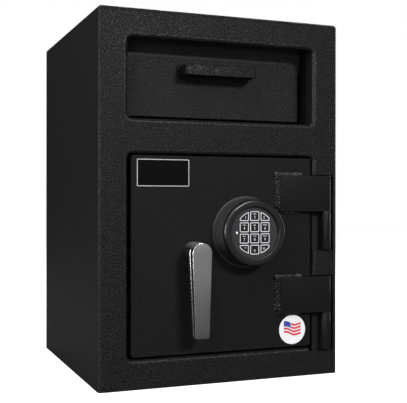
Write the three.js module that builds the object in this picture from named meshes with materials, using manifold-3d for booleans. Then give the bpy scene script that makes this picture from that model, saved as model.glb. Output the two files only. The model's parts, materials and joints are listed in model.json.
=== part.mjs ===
// Drop safe with a tipping deposit drawer above a hinged door with a keypad lock.
// Millimetres, +Z up, front towards -Y. The origin is the middle of the case's underside.

import * as THREE from 'three';
import { mergeVertices } from 'three/addons/utils/BufferGeometryUtils.js';
import { RoundedBoxGeometry } from 'three/addons/geometries/RoundedBoxGeometry.js';
import Module from 'manifold-3d';

const wasm = await Module();
wasm.setup();

// Clearances
const seam = 0.3;
const overrun = 6;
const runningGap = 0.4;

// Case
const caseWidth = 357;
const caseDepth = 357;
const caseHeight = 508;
const sheet = 3.4;
const caseCornerRadius = 5;
const stileWidth = 40;
const openingCornerRadius = 7;
const rollRadius = 5;
const flangeDepth = 20;
const bottomRail = 39.5;
const middleRail = 47;
const drawerOpeningHeight = 107.5;
const topRail = 39;
const anchorHoleRadius = 6.5;
const anchorSpacing = 240;

// Door
const doorThickness = 12.7;
const doorRecess = 2;
const doorLatchGap = 5;
const doorHingeGap = 3;
const doorTopGap = 2.1;
const doorBottomGap = 2.9;
const doorCornerRadius = 4;

// Hinges
const pinRadius = 5;
const pinCap = 4;
const pinFromSide = 18.5;
const barrelRadius = 7.5;
const barrelHeight = 53;
const washerThickness = 1.4;
const strapHeight = 51.5;
const strapFromKeypad = 51.5;
const strapFromDoorTop = 24.9;
const strapFromDoorBottom = 48.6;
const strapThickness = 8.2;
const strapWeldLeg = 4.5;
const strapLowWeldLeg = 2.6;
const strapWeldRun = 36;
const pocketMargin = 1.5;
const pocketSideStrip = 7;
const seatThickness = 6;
const seatSetback = 1;
const seatLap = 8;
const seatWebWidth = 8;

// Deposit drawer
const panelRecess = 40;
const panelThickness = 3;
const panelHeight = 84;
const panelSideGap = 3.8;
const panelBottomGap = 6.5;
const pivotBehindPanel = 7;
const pivotAboveLedge = 15.5;
const pivotRodRadius = 4;
const pivotTubeWall = 1.9;
const pivotRodEnd = 4;
const binSheet = 2.5;
const binInset = 5;
const binSideRadius = 65;
const binTailAngle = -20;
const binSideAngle = 28;
const binFlangeWidth = 15;
const hopperTravel = 55;
const pullWidth = 113;
const pullHeight = 20.5;
const pullFromPanelBottom = 54.3;
const pullPlate = 2;
const pullHoodWidth = 105.5;
const pullHoodDepth = 30;
const pullHoodTopDrop = 2.3;
const pullLipHeight = 15.5;
const pullCornerRadius = 3;
const cheekThickness = 3;
const cheekBottomDrop = 29.5;
const cheekDepth = 163;
const cheekFrontFoot = 65;
const cheekRearHeight = 84;
const guardGap = 3;
const guardSheet = 2.5;
const guardSetback = 4;
const guardTopGap = 12.1;
const guardLap = 8;
const sillThickness = 3;
const sillDepth = 65;
const bumperRadius = 3;
const bumperFromPanelEdge = 24.7;

// Door fittings
const nameplateWidth = 74.5;
const nameplateHeight = 37;
const nameplateThickness = 0.8;
const nameplateFromLatchEdge = 44.5;
const nameplateFromTop = 23.4;
const plateCornerRadius = 1.5;
const labelRadius = 20.8;
const labelThickness = 0.5;
const labelFromHingeEdge = 29.4;
const labelBelowStrap = 0.6;

// Keypad, measured outwards from the door
const keypadRightOfMiddle = 31.5;
const keypadAboveMiddle = 30.3;
const keypadFootRadius = 50;
const keypadFootHeight = 2.5;
const keypadBodyRadius = 47.5;
const keypadRimRadius = 45.5;
const keypadHeight = 34;
const keypadWall = 2.5;
const bezelInnerRadius = 35.5;
const bezelRound = 2;
const bezelLipThickness = 2.2;
const bezelSkirt = 8;
const bezelWall = 2.4;
const faceThickness = 2.4;
const keyColumnPitch = 15.6;
const keyRowPitch = 15.3;
const keyWidth = 13.6;
const keyHeight = 13.4;
const keyCornerRadius = 1.6;
const keyClipRadius = 29.9;
const keyProud = 1.2;
const keyFlange = 0.6;
const keyFlangeThickness = 1.2;
const keyTravel = 1.2;
const matThickness = 1.6;
const boardThickness = 1.6;
const batteryLength = 48.5;
const batteryWidth = 26.5;
const batteryDrop = 18;
const ledRadius = 1.8;
const ledFromCentre = 25.8;
const cableRadius = 2.2;
const cableHoleRadius = 6;

// Lever
const leverLeftOfMiddle = 47.5;
const leverAboveMiddle = 4;
const leverStandOff = 38;
const leverHeadRadius = 14.7;
const leverLength = 114;
const leverTipHalfWidth = 11;
const leverTipRadius = 4;
const leverHeadThickness = 20;
const leverTipThickness = 10;
const leverBevel = 2.2;
const leverNeckRadius = 14;
const leverNeckGap = 0.5;
const leverSocketDepth = 20;
const spindleRadius = 6;
const bushWall = 1.7;
const bushFlange = 3;
const bushFlangeThickness = 2;

// Bolt work, measured back from the door's inner face
const camRadius = 16;
const camThickness = 4;
const camSetback = 18.8;
const boltThrow = 14;
const crankPinRadius = 3;
const crankSlack = 0.6;
const crankPinProud = 1.5;
const carriageSetback = 29.2;
const carriageThickness = 3;
const carriageFromLatchEdge = 35.5;
const carriageLap = 15;
const boltRadius = 11;
const boltSpacing = 154;
const boltLength = 61;
const boltSetback = 2.5;
const boltCentreSetback = 17.8;
const guideWidth = 12;
const guideFromLatchEdge = 5.5;
const guideMargin = 5;
const studSpacing = 102;
const studFromLever = 13.5;
const studRadius = 4;
const studSpacerRadius = 8;
const studHeadRadius = 7.5;
const studHeadThickness = 3.2;
const lockWidth = 61;
const lockHeight = 86;
const lockThickness = 32;
const lockBoltWidth = 25;
const lockBoltThickness = 8;
const lockBoltLength = 25;
const lockBoltProud = 3;
const lockBoltSetback = 13.8;
const lockCarriageGap = 1.5;
const deadBarFoot = 16;
const deadBarSheet = 5;
const deadBarSetback = 15.3;
const deadBarReach = 16.5;
const deadBarRun = 41;
const deadBarEndGap = 17.5;
const coverSheet = 2;
const coverSetback = 37.3;
const coverFoot = 11;
const coverEndGap = 3.5;
const coverFromLatchEdge = 21.5;
const coverFromDeadBar = 8;

// Facets
const fineSegments = 40;
const roundSegments = 24;
const cornerSegments = 4;

// Places worked out from the sizes
const frontY = -caseDepth / 2;
const backY = caseDepth / 2;
const rightX = caseWidth / 2;
const innerX = rightX - sheet;
const innerFrontY = frontY + sheet;
const openingX = rightX - stileWidth;
const flangeX = openingX + sheet;
const flangeBackY = frontY + flangeDepth;
const drawerTop = caseHeight - topRail;
const drawerBottom = drawerTop - drawerOpeningHeight;
const doorOpeningTop = drawerBottom - middleRail;

const doorFrontY = frontY + doorRecess;
const doorBackY = doorFrontY + doorThickness;
const doorLeft = -openingX + doorLatchGap;
const doorRight = openingX - doorHingeGap;
const doorBottom = bottomRail + doorBottomGap;
const doorTop = doorOpeningTop - doorTopGap;
const doorMiddleX = (doorLeft + doorRight) / 2;
const doorMiddleZ = (doorBottom + doorTop) / 2;

const keypadX = doorMiddleX + keypadRightOfMiddle;
const keypadZ = doorMiddleZ + keypadAboveMiddle;
const leverX = doorMiddleX - leverLeftOfMiddle;
const leverZ = doorMiddleZ + leverAboveMiddle;

const pinX = rightX - pinFromSide;
const strapFrontY = doorFrontY - seam - strapThickness;
const pinY = strapFrontY + barrelRadius;
const strapLeft = keypadX + strapFromKeypad;
const strapTop = doorTop - strapFromDoorTop;
const strapBottom = strapTop - strapHeight;
const barrelTop = strapBottom - washerThickness - 2 * seam;
const barrelBottom = barrelTop - barrelHeight;
const hingePitch = strapBottom - (doorBottom + strapFromDoorBottom);
const pocketX = rightX - pocketSideStrip;
const pocketBottom = barrelBottom - pocketMargin;
const pocketTop = strapTop + pocketMargin;

const panelFrontY = frontY + panelRecess;
const pivotY = panelFrontY + panelThickness + pivotBehindPanel;
const pivotZ = drawerBottom + pivotAboveLedge;
const panelHalfWidth = openingX - panelSideGap;
const panelBottom = drawerBottom + panelBottomGap;
const panelTop = panelBottom + panelHeight;
const tubeRadius = pivotRodRadius + runningGap + pivotTubeWall;
const cheekX = flangeX + seam;
const guardY = panelFrontY + panelThickness + guardSetback;
const guardBottom = panelTop - guardLap;
const guardOuterRadius = caseHeight - sheet - guardTopGap - pivotZ;
const guardInnerRadius = guardOuterRadius - guardSheet;
const binTailLength = guardInnerRadius - guardGap;

const crankRadius = boltThrow / Math.SQRT2;
const crankSide = boltThrow / 2;
const carriageY = doorBackY + carriageSetback;
const lockLeft = keypadX - lockWidth / 2;
const lockBoltTip = lockLeft - lockBoltProud;
const carriageRight = lockBoltTip - lockCarriageGap;
const carriageLeft = doorLeft + carriageFromLatchEdge;
const boltY = doorBackY + boltCentreSetback;
const boltTipX = doorLeft + boltSetback;
const deadBarLeft = doorRight + deadBarReach - deadBarRun - deadBarFoot + deadBarSheet;

// Finishes: the colours of the case, plastics and metals
function finish(colour, roughness, metalness) {
  return { colour, roughness, metalness };
}
const blackPaint = finish(0x262627, 0.55, 0.2);
const bareSteel = finish(0x8d8f92, 0.4, 0.9);
const platedSteel = finish(0xb9b6a4, 0.35, 0.9);
const brightChrome = finish(0xe4e4e6, 0.12, 1);
const darkPlastic = finish(0x1d1d1e, 0.45, 0);
const bronze = finish(0x8a6a3a, 0.5, 0.8);

// One closed body from a three.js geometry
function solidFrom(geometry) {
  geometry.deleteAttribute('normal');
  geometry.deleteAttribute('uv');
  const merged = mergeVertices(geometry);
  const corners = merged.index.array;
  const points = merged.attributes.position;
  const triangles = [];
  let volume = 0;
  for (let i = 0; i < corners.length; i += 3) {
    const [a, b, c] = [corners[i], corners[i + 1], corners[i + 2]];
    if (a === b || b === c || c === a) continue;
    const [p, q, r] = [a, b, c].map((k) => new THREE.Vector3().fromBufferAttribute(points, k));
    volume += p.dot(q.cross(r));
    triangles.push(a, b, c);
  }
  if (volume < 0) triangles.reverse();
  const vertProperties = new Float32Array(points.array);
  const triVerts = new Uint32Array(triangles);
  return new wasm.Manifold(new wasm.Mesh({ numProp: 3, vertProperties, triVerts }));
}

function join(...solids) {
  return solids.reduce((whole, next) => whole.add(next));
}

function cut(solid, ...tools) {
  return tools.reduce((left, tool) => left.subtract(tool), solid);
}

// A block between two corners
function block([x0, x1], [y0, y1], [z0, z1]) {
  const geometry = new THREE.BoxGeometry(x1 - x0, y1 - y0, z1 - z0);
  geometry.translate((x0 + x1) / 2, (y0 + y1) / 2, (z0 + z1) / 2);
  return solidFrom(geometry);
}

// Outlines are lists of [across, up] points
function outlineShape(outline) {
  return new THREE.Shape(outline.map(([u, v]) => new THREE.Vector2(u, v)));
}

// A prism on an outline, between two places along an axis
function prism(outline, axis, from, to) {
  const straight = { depth: to - from, bevelEnabled: false };
  const geometry = new THREE.ExtrudeGeometry(outlineShape(outline), straight);
  const turn = new THREE.Matrix4();
  const [ex, ey, ez] = [[1, 0, 0], [0, 1, 0], [0, 0, 1]].map((e) => new THREE.Vector3(...e));
  if (axis === 'x') turn.makeBasis(ey, ez, ex).setPosition(from, 0, 0);
  if (axis === 'y') turn.makeBasis(ex, ez, ey.negate()).setPosition(0, to, 0);
  if (axis === 'z') turn.setPosition(0, 0, from);
  geometry.applyMatrix4(turn);
  return solidFrom(geometry);
}

// A turned piece about the z axis, from [radius, height] points that close on themselves
function turned(profile, segments = roundSegments) {
  const points = profile.map(([radius, height]) => new THREE.Vector2(radius, height));
  const geometry = new THREE.LatheGeometry([...points, points[0]], segments);
  geometry.rotateX(Math.PI / 2);
  return solidFrom(geometry);
}

// A round bar along an axis through a point, between two places on that axis
function bar(radius, axis, from, to, centre = [0, 0], segments = roundSegments) {
  const outline = arc(centre, radius, 0, 360, segments).slice(0, segments);
  return prism(outline, axis, from, to);
}

// Points on an arc about a centre, angles in degrees
function arc([u, v], radius, start, end, steps) {
  return Array.from({ length: steps + 1 }, (_, i) => {
    const angle = THREE.MathUtils.degToRad(start + ((end - start) * i) / steps);
    return [u + radius * Math.cos(angle), v + radius * Math.sin(angle)];
  });
}

// A rectangle with round corners
function roundedRectangle([u0, u1], [v0, v1], radius, steps = cornerSegments) {
  return [
    ...arc([u1 - radius, v1 - radius], radius, 0, 90, steps),
    ...arc([u0 + radius, v1 - radius], radius, 90, 180, steps),
    ...arc([u0 + radius, v0 + radius], radius, 180, 270, steps),
    ...arc([u1 - radius, v0 + radius], radius, 270, 360, steps),
  ];
}

// A closed body through rings of the same number of points
function loft(rings) {
  const count = rings[0].length;
  const points = rings.flat();
  const triangles = [];
  for (let ring = 0; ring + 1 < rings.length; ring += 1) {
    for (let i = 0; i < count; i += 1) {
      const [a, b] = [ring * count + i, ring * count + ((i + 1) % count)];
      triangles.push(a, b, b + count, a, b + count, a + count);
    }
  }
  const last = (rings.length - 1) * count;
  for (let i = 1; i + 1 < count; i += 1) {
    triangles.push(0, i + 1, i);
    triangles.push(last, last + i, last + i + 1);
  }
  const geometry = new THREE.BufferGeometry();
  geometry.setAttribute('position', new THREE.Float32BufferAttribute(points.flat(), 3));
  geometry.setIndex(triangles);
  return solidFrom(geometry);
}

function mirrored(solid) {
  const copy = solid.getMesh();
  const geometry = new THREE.BufferGeometry();
  geometry.setAttribute('position', new THREE.Float32BufferAttribute(copy.vertProperties, 3));
  geometry.setIndex([...copy.triVerts]);
  geometry.scale(-1, 1, 1);
  return solidFrom(geometry);
}

// Put a finished solid into a group as a named mesh
function addPiece(group, name, solid, { colour, roughness, metalness }) {
  const { vertProperties, triVerts } = solid.getMesh();
  const geometry = new THREE.BufferGeometry();
  geometry.setAttribute('position', new THREE.BufferAttribute(vertProperties, 3));
  geometry.setIndex(new THREE.BufferAttribute(triVerts, 1));
  geometry.computeVertexNormals();
  const material = new THREE.MeshStandardMaterial({ color: colour, roughness, metalness });
  const mesh = new THREE.Mesh(geometry, material);
  mesh.name = name;
  group.add(mesh);
  return mesh;
}

// The rolled opening: a cutter that widens by a quarter circle towards the front
function openingCutter(bottom, top) {
  const steps = cornerSegments + 1;
  const sections = Array.from({ length: steps + 1 }, (_, i) => {
    const angle = (Math.PI / 2) * (i / steps);
    return [rollRadius * (1 - Math.cos(angle)), rollRadius * (1 - Math.sin(angle))];
  });
  const places = [[-overrun, rollRadius], ...sections, [flangeDepth + overrun, 0]];
  return loft(places.map(([depth, wider]) => {
    const across = [-openingX - wider, openingX + wider];
    const up = [bottom - wider, top + wider];
    const ring = roundedRectangle(across, up, openingCornerRadius + wider);
    return ring.map(([x, z]) => [x, frontY + depth, z]);
  }));
}

function openingFlange(bottom, top) {
  const outline = roundedRectangle(
    [-flangeX, flangeX], [bottom - sheet, top + sheet], openingCornerRadius + sheet);
  return prism(outline, 'y', frontY + sheet / 2, flangeBackY);
}

// Case: folded sides, top and front in one, open at the back and below
function caseShell() {
  const rounded = new RoundedBoxGeometry(caseWidth, caseDepth + 2 * overrun,
    caseHeight + 2 * overrun, cornerSegments, caseCornerRadius);
  rounded.translate(0, overrun, caseHeight / 2 - overrun);
  const beyond = [-caseDepth, caseDepth];
  const outside = cut(solidFrom(rounded),
    block(beyond, [backY, backY + 3 * overrun], [-3 * overrun, caseHeight + overrun]),
    block(beyond, beyond, [-3 * overrun, 0]));
  const inside = block(
    [-innerX, innerX], [innerFrontY, backY + overrun], [-overrun, caseHeight - sheet]);
  let shell = cut(outside, inside);
  const openings = [[bottomRail, doorOpeningTop], [drawerBottom, drawerTop]];
  for (const [bottom, top] of openings) shell = join(shell, openingFlange(bottom, top));
  for (const [bottom, top] of openings) shell = cut(shell, openingCutter(bottom, top));
  for (const drop of [0, hingePitch]) {
    shell = cut(shell, block([openingX - overrun, pocketX],
      [frontY - overrun, flangeBackY + overrun], [pocketBottom - drop, pocketTop - drop]));
  }
  return shell;
}

function floorPlate() {
  const half = anchorSpacing / 2;
  const holes = [[-half, -half], [half, -half], [-half, half], [half, half]].map(
    (centre) => bar(anchorHoleRadius, 'z', -overrun, sheet + overrun, centre));
  const x = innerX - seam;
  return cut(block([-x, x], [innerFrontY + seam, backY], [0, sheet]), ...holes);
}

function backPlate() {
  const x = innerX - seam;
  return block([-x, x], [backY - sheet, backY], [sheet + seam, caseHeight - sheet - seam]);
}

// Fixed half of a hinge: a backing plate behind the pocket, with the lower barrel
function hingeSeat(drop) {
  const plateY = pinY + barrelRadius + seatSetback;
  const plate = block([cheekX, innerX - seam], [plateY, plateY + seatThickness],
    [pocketBottom - seatLap - drop, pocketTop + seatLap - drop]);
  const [bottom, top] = [barrelBottom - drop, barrelTop - drop];
  const webHalf = seatWebWidth / 2;
  const web = block([pinX - webHalf, pinX + webHalf], [pinY, plateY + seam], [bottom, top]);
  const barrel = bar(barrelRadius, 'z', bottom, top, [pinX, pinY]);
  const bore = bar(pinRadius + seam, 'z', bottom + pinCap, top + overrun, [pinX, pinY]);
  return cut(join(plate, web, barrel), bore);
}

function hingePin(drop) {
  const endGap = pinCap + seam;
  return bar(pinRadius, 'z', barrelBottom + endGap - drop, strapTop - endGap - drop, [pinX, pinY]);
}

function hingeWasher(drop) {
  const bottom = barrelTop + seam - drop;
  const ring = bar(barrelRadius - seam, 'z', bottom, bottom + washerThickness, [pinX, pinY]);
  return cut(ring, bar(pinRadius + seam, 'z', bottom - overrun, bottom + overrun, [pinX, pinY]));
}

// Moving half of a hinge: a strap with a rolled end, welded to the door on three sides
function hingeStrap(drop) {
  const [bottom, top] = [strapBottom - drop, strapTop - drop];
  const rearY = strapFrontY + strapThickness;
  const plate = block([strapLeft, pinX], [strapFrontY, rearY], [bottom, top]);
  const knuckle = bar(barrelRadius, 'z', bottom, top, [pinX, pinY]);
  const bore = bar(pinRadius + seam, 'z', bottom - overrun, top - pinCap, [pinX, pinY]);
  const legY = rearY - strapWeldLeg;
  const beadStart = strapLeft - strapWeldLeg;
  const beadEnd = strapLeft + strapWeldRun;
  const sideBead = prism(
    [[strapLeft, rearY], [beadStart, rearY], [strapLeft, legY]], 'z', bottom, top);
  const topBead = prism([[rearY, top], [rearY, top + strapWeldLeg], [legY, top]], 'x', beadStart, beadEnd);
  const lowLegY = rearY - strapLowWeldLeg;
  const lowBead = prism([[rearY, bottom], [rearY, bottom - strapLowWeldLeg], [lowLegY, bottom]],
    'x', beadStart, beadEnd);
  return cut(join(plate, knuckle, sideBead, topBead, lowBead), bore);
}

// Drawer pieces that stand still
function hopperCheek() {
  const [low, high] = [drawerBottom - cheekBottomDrop, caseHeight - sheet - seam];
  const nearY = innerFrontY + seam;
  const farY = nearY + cheekDepth;
  const outline = [
    [nearY, low], [nearY + cheekFrontFoot, low],
    [farY, high - cheekRearHeight], [farY, high], [nearY, high],
  ];
  const plate = prism(outline, 'x', cheekX, cheekX + cheekThickness);
  return cut(plate, bar(pivotRodRadius + seam, 'x', cheekX - overrun, cheekX + overrun, [pivotY, pivotZ]));
}

function fishGuard() {
  const [inner, outer] = [guardInnerRadius, guardOuterRadius];
  const lowest = binTailAngle + hopperTravel;
  const centre = [pivotY, pivotZ];
  const upright = 90;
  const strip = [...arc(centre, outer, lowest, upright, fineSegments / 4),
    ...arc(centre, inner, upright, lowest, fineSegments / 4)];
  const half = cheekX - seam;
  const hood = prism(strip, 'x', -half, half);
  const high = caseHeight - sheet - seam;
  const flange = block([-half, half], [guardY, guardY + guardSheet], [guardBottom, high]);
  const bridge = block([-half, half], [guardY, pivotY + guardSheet], [pivotZ + inner, pivotZ + outer]);
  return join(hood, flange, bridge);
}

function hopperSill() {
  const top = drawerBottom - sheet - seam;
  const nearY = innerFrontY + seam;
  return block([-flangeX, flangeX], [nearY, nearY + sillDepth], [top - sillThickness, top]);
}

function bumper(side) {
  const height = panelTop - guardLap / 2;
  const across = side * (panelHalfWidth - bumperFromPanelEdge);
  const rearOfPanel = panelFrontY + panelThickness;
  return bar(bumperRadius, 'y', rearOfPanel + seam, guardY - seam, [across, height]);
}

function pivotRod() {
  const end = cheekX + cheekThickness + pivotRodEnd;
  return bar(pivotRodRadius, 'x', -end, end, [pivotY, pivotZ]);
}

// Drawer pieces that tip, about the pivot
function hopperPanel() {
  const outline = roundedRectangle([-panelHalfWidth, panelHalfWidth],
    [panelBottom - pivotZ, panelTop - pivotZ], plateCornerRadius);
  return prism(outline, 'y', -pivotBehindPanel - panelThickness, -pivotBehindPanel);
}

function hopperBin() {
  const frontFace = -pivotBehindPanel + seam;
  const frontTop = Math.sqrt(binSideRadius ** 2 - frontFace ** 2);
  const startAngle = THREE.MathUtils.radToDeg(Math.atan2(frontTop, frontFace));
  const tail = THREE.MathUtils.degToRad(binTailAngle);
  const along = (distance, lift) => [
    distance * Math.cos(tail) - lift * Math.sin(tail), distance * Math.sin(tail) + lift * Math.cos(tail)];
  const side = [
    [frontFace, panelBottom - pivotZ + panelThickness],
    [0, -tubeRadius],
    along(tubeRadius, -tubeRadius),
    along(binTailLength, -tubeRadius),
    along(binTailLength, 0),
    ...arc([0, 0], binSideRadius, binSideAngle, startAngle, cornerSegments * 2),
  ];
  const half = panelHalfWidth - binInset;
  const sides = [prism(side, 'x', half - binSheet, half), prism(side, 'x', -half, -half + binSheet)];
  const tailStrip = [along(0, -tubeRadius), along(binTailLength, -tubeRadius),
    along(binTailLength, binSheet - tubeRadius), along(0, binSheet - tubeRadius)];
  const tailPlate = prism(tailStrip, 'x', -half, half);
  const tube = bar(tubeRadius, 'x', -half, half);
  const flanges = [-1, 1].map((sign) => {
    const edges = [sign * half, sign * (half - binFlangeWidth)].sort((a, b) => a - b);
    return block(edges, [frontFace, frontFace + binSheet], [tubeRadius, frontTop]);
  });
  const bore = bar(pivotRodRadius + runningGap, 'x', -half - overrun, half + overrun);
  return cut(join(...sides, tailPlate, tube, ...flanges), bore);
}

function hopperPull() {
  const bottom = panelBottom + pullFromPanelBottom - pivotZ;
  const panelFace = -pivotBehindPanel - panelThickness;
  const rearY = panelFace - seam;
  const plateY = rearY - pullPlate;
  const half = pullWidth / 2;
  const plateOutline = roundedRectangle([-half, half], [bottom, bottom + pullHeight], pullCornerRadius);
  const plate = prism(plateOutline, 'y', plateY, rearY);
  const hoodHalf = pullHoodWidth / 2;
  const hoodTop = bottom + pullHeight - pullHoodTopDrop;
  const lipBottom = hoodTop - pullLipHeight;
  const lipY = panelFace - pullHoodDepth;
  const hoodOutline = roundedRectangle([-hoodHalf, hoodHalf], [lipBottom, hoodTop], pullCornerRadius);
  const hood = prism(hoodOutline, 'y', lipY, rearY);
  const room = block([-hoodHalf + pullPlate, hoodHalf - pullPlate],
    [lipY + pullPlate, plateY], [lipBottom - overrun, hoodTop - pullPlate]);
  return join(plate, cut(hood, room));
}

// Door
function doorPlate() {
  const outline = roundedRectangle([doorLeft, doorRight], [doorBottom, doorTop], doorCornerRadius);
  const plate = prism(outline, 'y', doorFrontY, doorBackY);
  const [nearY, farY] = [doorFrontY - overrun, doorBackY + overrun];
  const bushHole = bar(spindleRadius + seam + bushWall + seam, 'y', nearY, farY, [leverX, leverZ]);
  const cableHole = bar(cableHoleRadius, 'y', nearY, farY, [keypadX, keypadZ]);
  return cut(plate, bushHole, cableHole);
}

function nameplate() {
  const left = doorLeft + nameplateFromLatchEdge - nameplateWidth / 2;
  const top = doorTop - nameplateFromTop + nameplateHeight / 2;
  const outline = roundedRectangle(
    [left, left + nameplateWidth], [top - nameplateHeight, top], plateCornerRadius);
  return prism(outline, 'y', doorFrontY - seam - nameplateThickness, doorFrontY - seam);
}

function roundLabel() {
  const top = strapBottom - hingePitch - strapLowWeldLeg - labelBelowStrap;
  const centre = [doorRight - labelFromHingeEdge, top - labelRadius];
  const rearY = doorFrontY - seam;
  return bar(labelRadius, 'y', rearY - labelThickness, rearY, centre, fineSegments);
}

// Keypad pieces, in a frame whose z axis points out of the door
const faceTop = keypadHeight - bezelLipThickness - bezelRound;
const faceBottom = faceTop - faceThickness;
const keyFlangeTop = faceBottom - seam;
const keyFlangeBottom = keyFlangeTop - keyFlangeThickness;
const matTop = keyFlangeBottom - keyTravel - seam;
const boardTop = matTop - matThickness - seam;
const boardBottom = boardTop - boardThickness;
const batteryBottom = keypadWall + 2 * seam;
const skirtRadius = keypadRimRadius - bezelWall;
const boardRadius = skirtRadius - keypadWall - runningGap - seam;

function keypadHousing() {
  const shoulder = keypadHeight - bezelSkirt;
  const bodyTop = keypadRimRadius;
  const inside = boardRadius + seam;
  const neck = skirtRadius - seam;
  return turned([
    [cableHoleRadius, seam], [keypadFootRadius, seam], [keypadFootRadius, keypadFootHeight],
    [keypadBodyRadius, keypadFootHeight], [bodyTop, shoulder], [neck, shoulder],
    [neck, faceBottom - seam], [inside, faceBottom - seam],
    [inside, keypadWall + seam], [cableHoleRadius, keypadWall + seam],
  ], fineSegments);
}

function keypadBezel() {
  const bottom = keypadHeight - bezelSkirt + seam;
  const lipBottom = faceTop + seam;
  const crest = [keypadRimRadius - bezelRound, keypadHeight - bezelRound];
  const nose = [bezelInnerRadius + bezelRound, keypadHeight - bezelRound];
  return turned([
    [keypadRimRadius, bottom],
    ...arc(crest, bezelRound, 0, 90, cornerSegments - 1),
    ...arc(nose, bezelRound, 90, 180, cornerSegments - 1),
    [bezelInnerRadius, lipBottom],
    [skirtRadius, lipBottom],
    [skirtRadius, bottom],
  ], fineSegments);
}

// The keys' places, left to right and top to bottom
const keyNames = ['1', '2', '3', '4', '5', '6', '7', '8', '9', 'star', '0', 'hash'];
const keyColumns = 3;
const keyRows = keyNames.length / keyColumns;
const keyPlaces = keyNames.map((name, i) => ({
  name,
  x: ((i % keyColumns) - (keyColumns - 1) / 2) * keyColumnPitch,
  y: ((keyRows - 1) / 2 - Math.floor(i / keyColumns)) * keyRowPitch,
}));

// A key's outline block, clipped by the round field of keys
function keyBlock({ x, y }, grow, from, to) {
  const [w, h] = [keyWidth / 2 + grow, keyHeight / 2 + grow];
  const outline = roundedRectangle([x - w, x + w], [y - h, y + h], keyCornerRadius, 2);
  const field = bar(keyClipRadius + grow, 'z', from, to, [0, 0], fineSegments);
  return prism(outline, 'z', from, to).intersect(field);
}

function keypadFace() {
  const disc = bar(skirtRadius - seam, 'z', faceBottom, faceTop, [0, 0], fineSegments);
  const windows = keyPlaces.map((place) => keyBlock(place, seam, faceBottom - overrun, faceTop + overrun));
  const ledHole = bar(
    ledRadius + seam, 'z', faceBottom - overrun, faceTop + overrun, [-ledFromCentre, 0]);
  return cut(disc, ...windows, ledHole);
}

function key(place) {
  const stem = keyBlock(place, 0, keyFlangeTop - seam, faceTop + keyProud);
  const flange = keyBlock(place, keyFlange, keyFlangeBottom, keyFlangeTop);
  return join(stem, flange);
}

function keypadMat() {
  return bar(boardRadius, 'z', matTop - matThickness, matTop, [0, 0], fineSegments);
}

function keypadBoard() {
  return bar(boardRadius, 'z', boardBottom, boardTop, [0, 0], fineSegments);
}

function keypadBattery() {
  const half = batteryLength / 2;
  const top = -batteryDrop + batteryWidth / 2;
  return block([-half, half], [top - batteryWidth, top], [batteryBottom, boardBottom - seam]);
}

function ledLens() {
  return bar(ledRadius, 'z', matTop + seam, faceTop + seam, [-ledFromCentre, 0]);
}

function lockCable() {
  return bar(cableRadius, 'z', -doorThickness, boardBottom - seam, [0, 0], roundSegments / 2);
}

// Lever pieces, in a frame whose z axis points out of the door
function leverHandle() {
  const inset = leverBevel;
  const tip = -leverLength;
  const [head, foot] = [leverHeadRadius - inset, leverTipHalfWidth - inset];
  const outline = [
    ...arc([0, 0], head, 0, 180, cornerSegments * 3),
    ...arc([leverTipRadius - foot, tip + inset + leverTipRadius], leverTipRadius, 180, 270, cornerSegments),
    ...arc([foot - leverTipRadius, tip + inset + leverTipRadius], leverTipRadius, 270, 360, cornerSegments),
  ];
  const geometry = new THREE.ExtrudeGeometry(outlineShape(outline), {
    depth: leverHeadThickness - 2 * inset, bevelThickness: inset, bevelSize: inset, bevelSegments: 3,
  });
  geometry.translate(0, 0, leverStandOff - leverHeadThickness + inset);
  const back = leverStandOff - leverHeadThickness;
  const thinner = leverHeadThickness - leverTipThickness;
  const beyond = tip - overrun;
  const wedge = prism([
    [-leverHeadRadius, back - overrun], [-leverHeadRadius, back],
    [beyond, back + thinner], [beyond, back - overrun],
  ], 'x', -leverHeadRadius - overrun, leverHeadRadius + overrun);
  const arm = cut(solidFrom(geometry), wedge);
  const neck = bar(leverNeckRadius, 'z', leverNeckGap, back + leverBevel, [0, 0], fineSegments);
  const socket = bar(spindleRadius + seam, 'z', -overrun, leverSocketDepth);
  return cut(join(arm, neck), socket);
}

function leverSpindle() {
  const inner = -doorThickness - camSetback - camThickness;
  return bar(spindleRadius, 'z', inner, leverSocketDepth - seam);
}

function camDisc() {
  const outer = -doorThickness - camSetback;
  const inner = outer - camThickness;
  const pinEnd = -doorThickness - carriageSetback - carriageThickness - crankPinProud;
  const disc = bar(camRadius, 'z', inner, outer);
  const pin = bar(crankPinRadius, 'z', pinEnd, outer - seam, [crankSide, -crankSide]);
  return join(cut(disc, bar(spindleRadius + seam, 'z', inner - overrun, outer + overrun)), pin);
}

function leverBushing() {
  const [inside, outside] = [spindleRadius + seam, spindleRadius + seam + bushWall];
  const rear = -doorThickness - seam;
  return turned([
    [inside, -seam], [outside, -seam], [outside, rear], [outside + bushFlange, rear],
    [outside + bushFlange, rear - bushFlangeThickness], [inside, rear - bushFlangeThickness],
  ]);
}

// Bolt work behind the door
function boltGuide(z) {
  const left = doorLeft + guideFromLatchEdge;
  const reach = boltRadius + guideMargin;
  const farY = boltY + reach;
  const body = block([left, left + guideWidth], [doorBackY + seam, farY], [z - reach, z + reach]);
  return cut(body, bar(boltRadius + seam, 'x', left - overrun, left + guideWidth + overrun, [boltY, z]));
}

function lockingBolt(z) {
  return bar(boltRadius, 'x', boltTipX, boltTipX + boltLength, [boltY, z], fineSegments);
}

function guideStud() {
  const spacerEnd = carriageSetback - seam;
  const shankEnd = carriageSetback + carriageThickness + seam;
  const profile = [
    [0, seam], [studSpacerRadius, seam], [studSpacerRadius, spacerEnd], [studRadius, spacerEnd],
    [studRadius, shankEnd], [studHeadRadius, shankEnd], [studHeadRadius, shankEnd + studHeadThickness],
    [0, shankEnd + studHeadThickness],
  ];
  return turned(profile.map(([radius, depth]) => [radius, -depth]));
}

const studX = leverX - studFromLever;

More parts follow.
